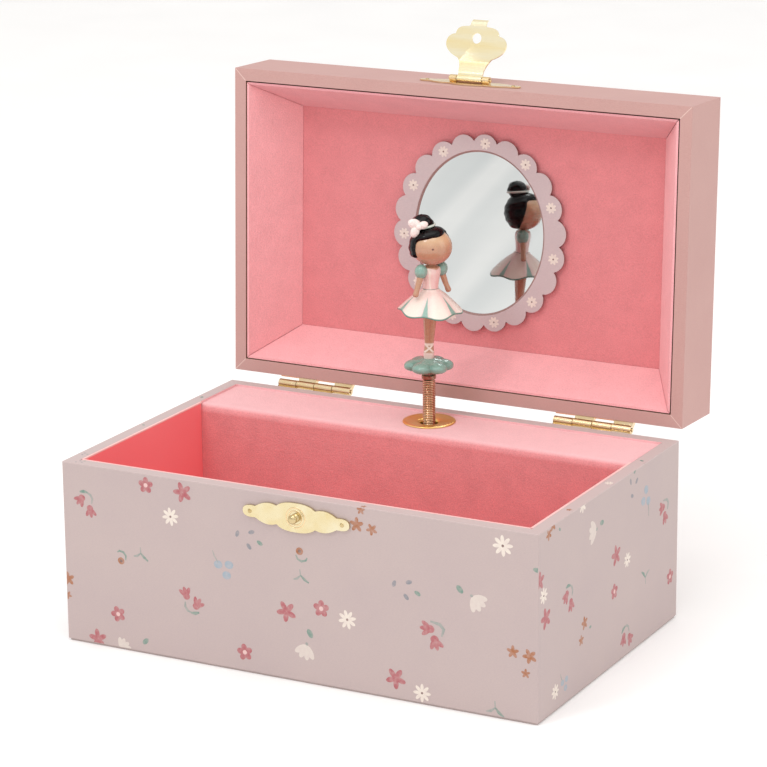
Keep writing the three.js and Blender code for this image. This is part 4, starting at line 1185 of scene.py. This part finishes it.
painted("legs_and_shoes", leg_shape(), leg_colour, "dancer_body")
painted("skirt", skirt_shape(), skirt_colour)
painted("bodice", bodice_shape(), bodice_colour, place=SHOULDERS)
for name, side in (("right", -1), ("left", 1)):
    arm = painted(f"{name}_arm", tube(arm_path(side), arm_size, 18), arm_colour, place=SHOULDERS)
    rounded = arm.modifiers.new("round", "SUBSURF")
    rounded.levels = rounded.render_levels = 2
    sleeve = sleeve_shape(side * 4.6)
    painted(f"{name}_sleeve", sleeve, sleeve_colour, place=SHOULDERS, slot="green_resin")

HEAD = Vector((0, -0.2, 128.2))
HEAD_SIZE = Vector((7.2, 6.5, 6.5))


def head_colour(x, y, z):
    # Painted light on the top of the head, and painted shade towards the chin.
    colour = mix(SKIN, LIT_SKIN, smoothstep(128, 132.5, z))
    return mix(colour, PINK_SKIN, 0.75 * smoothstep(126.5, 122.4, z))


def nose_colour(x, y, z):
    return linear(122, 78, 64)


painted("head", ball(HEAD, HEAD_SIZE, 96), head_colour, "dancer_head", slot="skin_resin")
painted("nose", ball((0, -6.62, 128.7), (0.42, 0.3, 0.36), 20), nose_colour, slot="skin_resin")


def hair_shape():
    """A cap over the head, proud where there is hair and sunk inside the head where there is none."""
    points, faces = ball(HEAD, HEAD_SIZE, 160)
    made = []
    for px, py, pz in points:
        fringe = pz - (132.4 + 0.28 * min(px, 0) + 0.052 * max(px, 0) ** 2)
        swept = 0.3 * max(0.0, 131 - pz) * smoothstep(-1, 2, px)
        behind = py - (-0.66 + (0.55 if px < 0 else 0.62) * px + swept)
        nape = 124.8 - 2.3 * smoothstep(1, 4, py)
        soft = max(0.0, 1.6 - abs(fringe - behind)) ** 2 / 6.4
        inside = min(max(fringe, behind) + soft, pz - nape)
        cover = smoothstep(-0.25, 0.55, inside)
        lock = 0.1 * sin(2.6 * (pz - 0.45 * px) + 1.2 * sin(px * 0.5)) * cover
        thick = -0.5 + 1.45 * cover + lock
        out = zip(HEAD, (px, py, pz), HEAD_SIZE)
        made.append(tuple(middle + (part - middle) * (1 + thick / size) for middle, part, size in out))
    return made, faces


def bun_shape():
    points, faces = ball((0, 0, 0), (1, 1, 1), 72)
    made = []
    for x, y, z in points:
        swirl = 1 + 0.035 * sin(4 * atan2(y, x) + 7 * z)
        made.append((-3.5 + 4.0 * x * swirl, 1.2 + 3.6 * y * swirl, 136.1 + 3.3 * z * swirl))
    return made, faces


hair = together(hair_shape(), bun_shape())
build("hair", *hair, HAIR_RESIN, "dancer", "hair_resin", place=DANCER, replaced="dancer_hair")


def bun_band():
    """The pale ribbon round the foot of the bun."""
    path = []
    for step in range(65):
        x, y = cos(tau * step / 64), sin(tau * step / 64)
        path.append((-3.2 + 4.05 * x, 1.1 + 3.65 * y, 135.4 + 0.7 * x))
    build("bun_band", *tube(path, 0.42), BAND_RESIN, "dancer", "green_resin", True, DANCER)


bun_band()


def bow_shape():
    """Three puffed loops of ribbon and a knot at the side of the hair."""
    loops = []
    for centre, size, lean in (
        ((-6.4, -2.2, 136.8), (2.4, 1.3, 1.75), 16),
        ((-3.5, -3.0, 136.5), (1.9, 1.0, 1.4), -24),
        ((-6.2, -2.9, 134.1), (1.6, 1.2, 2.15), 22),
    ):
        points, faces = ball((0, 0, 0), size, 32)
        place = Matrix.Translation(centre) @ turn_about("Y", lean)
        folds = []
        for x, y, z in points:
            pinch = 1 + 0.14 * cos(4 * x + 3 * z)
            folds.append(tuple(place @ Vector((x, y * pinch, z))))
        loops.append((folds, faces))
    return together(*loops, ball((-4.9, -3.3, 135.9), (1.15, 1.05, 1.1), 24))


build("bow", *bow_shape(), PALE_RESIN, "dancer", "pale_resin", place=DANCER, replaced="dancer_bow")


# ------------------------------------------------------------------ camera, light and floor
def studio():
    scene = bpy.context.scene
    scene.view_settings.view_transform = "Standard"
    camera = bpy.data.objects.new("camera", bpy.data.cameras.new("camera"))
    scene.collection.objects.link(camera)
    camera.data.sensor_width = 36
    camera.data.lens = 149.28
    # It is turned 27.91 degrees to the left of straight ahead, looks down by 15.74 and leans by 0.54.
    view = turn_about("Z", 27.91) @ turn_about("X", 90 - 15.74) @ turn_about("Z", -0.54)
    camera.matrix_world = shift(494.9, -926.0, 385.0) @ view
    camera.data.clip_start, camera.data.clip_end = 0.05, 50
    scene.camera = camera

    mesh = bpy.data.meshes.new("floor")
    mesh.from_pydata([(-5, -5, 0), (5, -5, 0), (5, 5, 0), (-5, 5, 0)], [], [(0, 1, 2, 3)])
    shader = Shader("floor")
    mottle = shader.span(shader.noise(60, 2), 0, 1)
    shade = shader.blend(mottle, linear(246, 245, 244), linear(250, 249, 248))
    glow = {"Emission_Color": WHITE, "Emission_Strength": 0.1}
    mesh.materials.append(shader.finish(Base_Color=shade, Roughness=0.7, **glow))
    floor = bpy.data.objects.new("floor", mesh)
    scene.collection.objects.link(floor)

    world = bpy.data.worlds.new("studio")
    world.use_nodes = True
    background = next(node for node in world.node_tree.nodes if node.type == "BACKGROUND")
    background.inputs["Color"].default_value = (1.0, 0.99, 0.98, 1)
    background.inputs["Strength"].default_value = 0.86
    scene.world = world
    target = Vector((0, 0, 80))
    for name, place, size, power in (
        ("top", (100, -350, 1500), 1.2, 6.5),
        ("front", (500, -1500, 700), 0.9, 1.2),
        ("side", (1400, 100, 700), 0.9, 2.0),
        ("sparkle", (-300, -900, 1100), 0.22, 2.4),
    ):
        lamp = bpy.data.objects.new(name, bpy.data.lights.new(name, "AREA"))
        lamp.data.size = size
        lamp.data.energy = power
        lamp.matrix_world = facing(place, Vector(place) - target)
        scene.collection.objects.link(lamp)


studio()

bpy.context.view_layer.update()
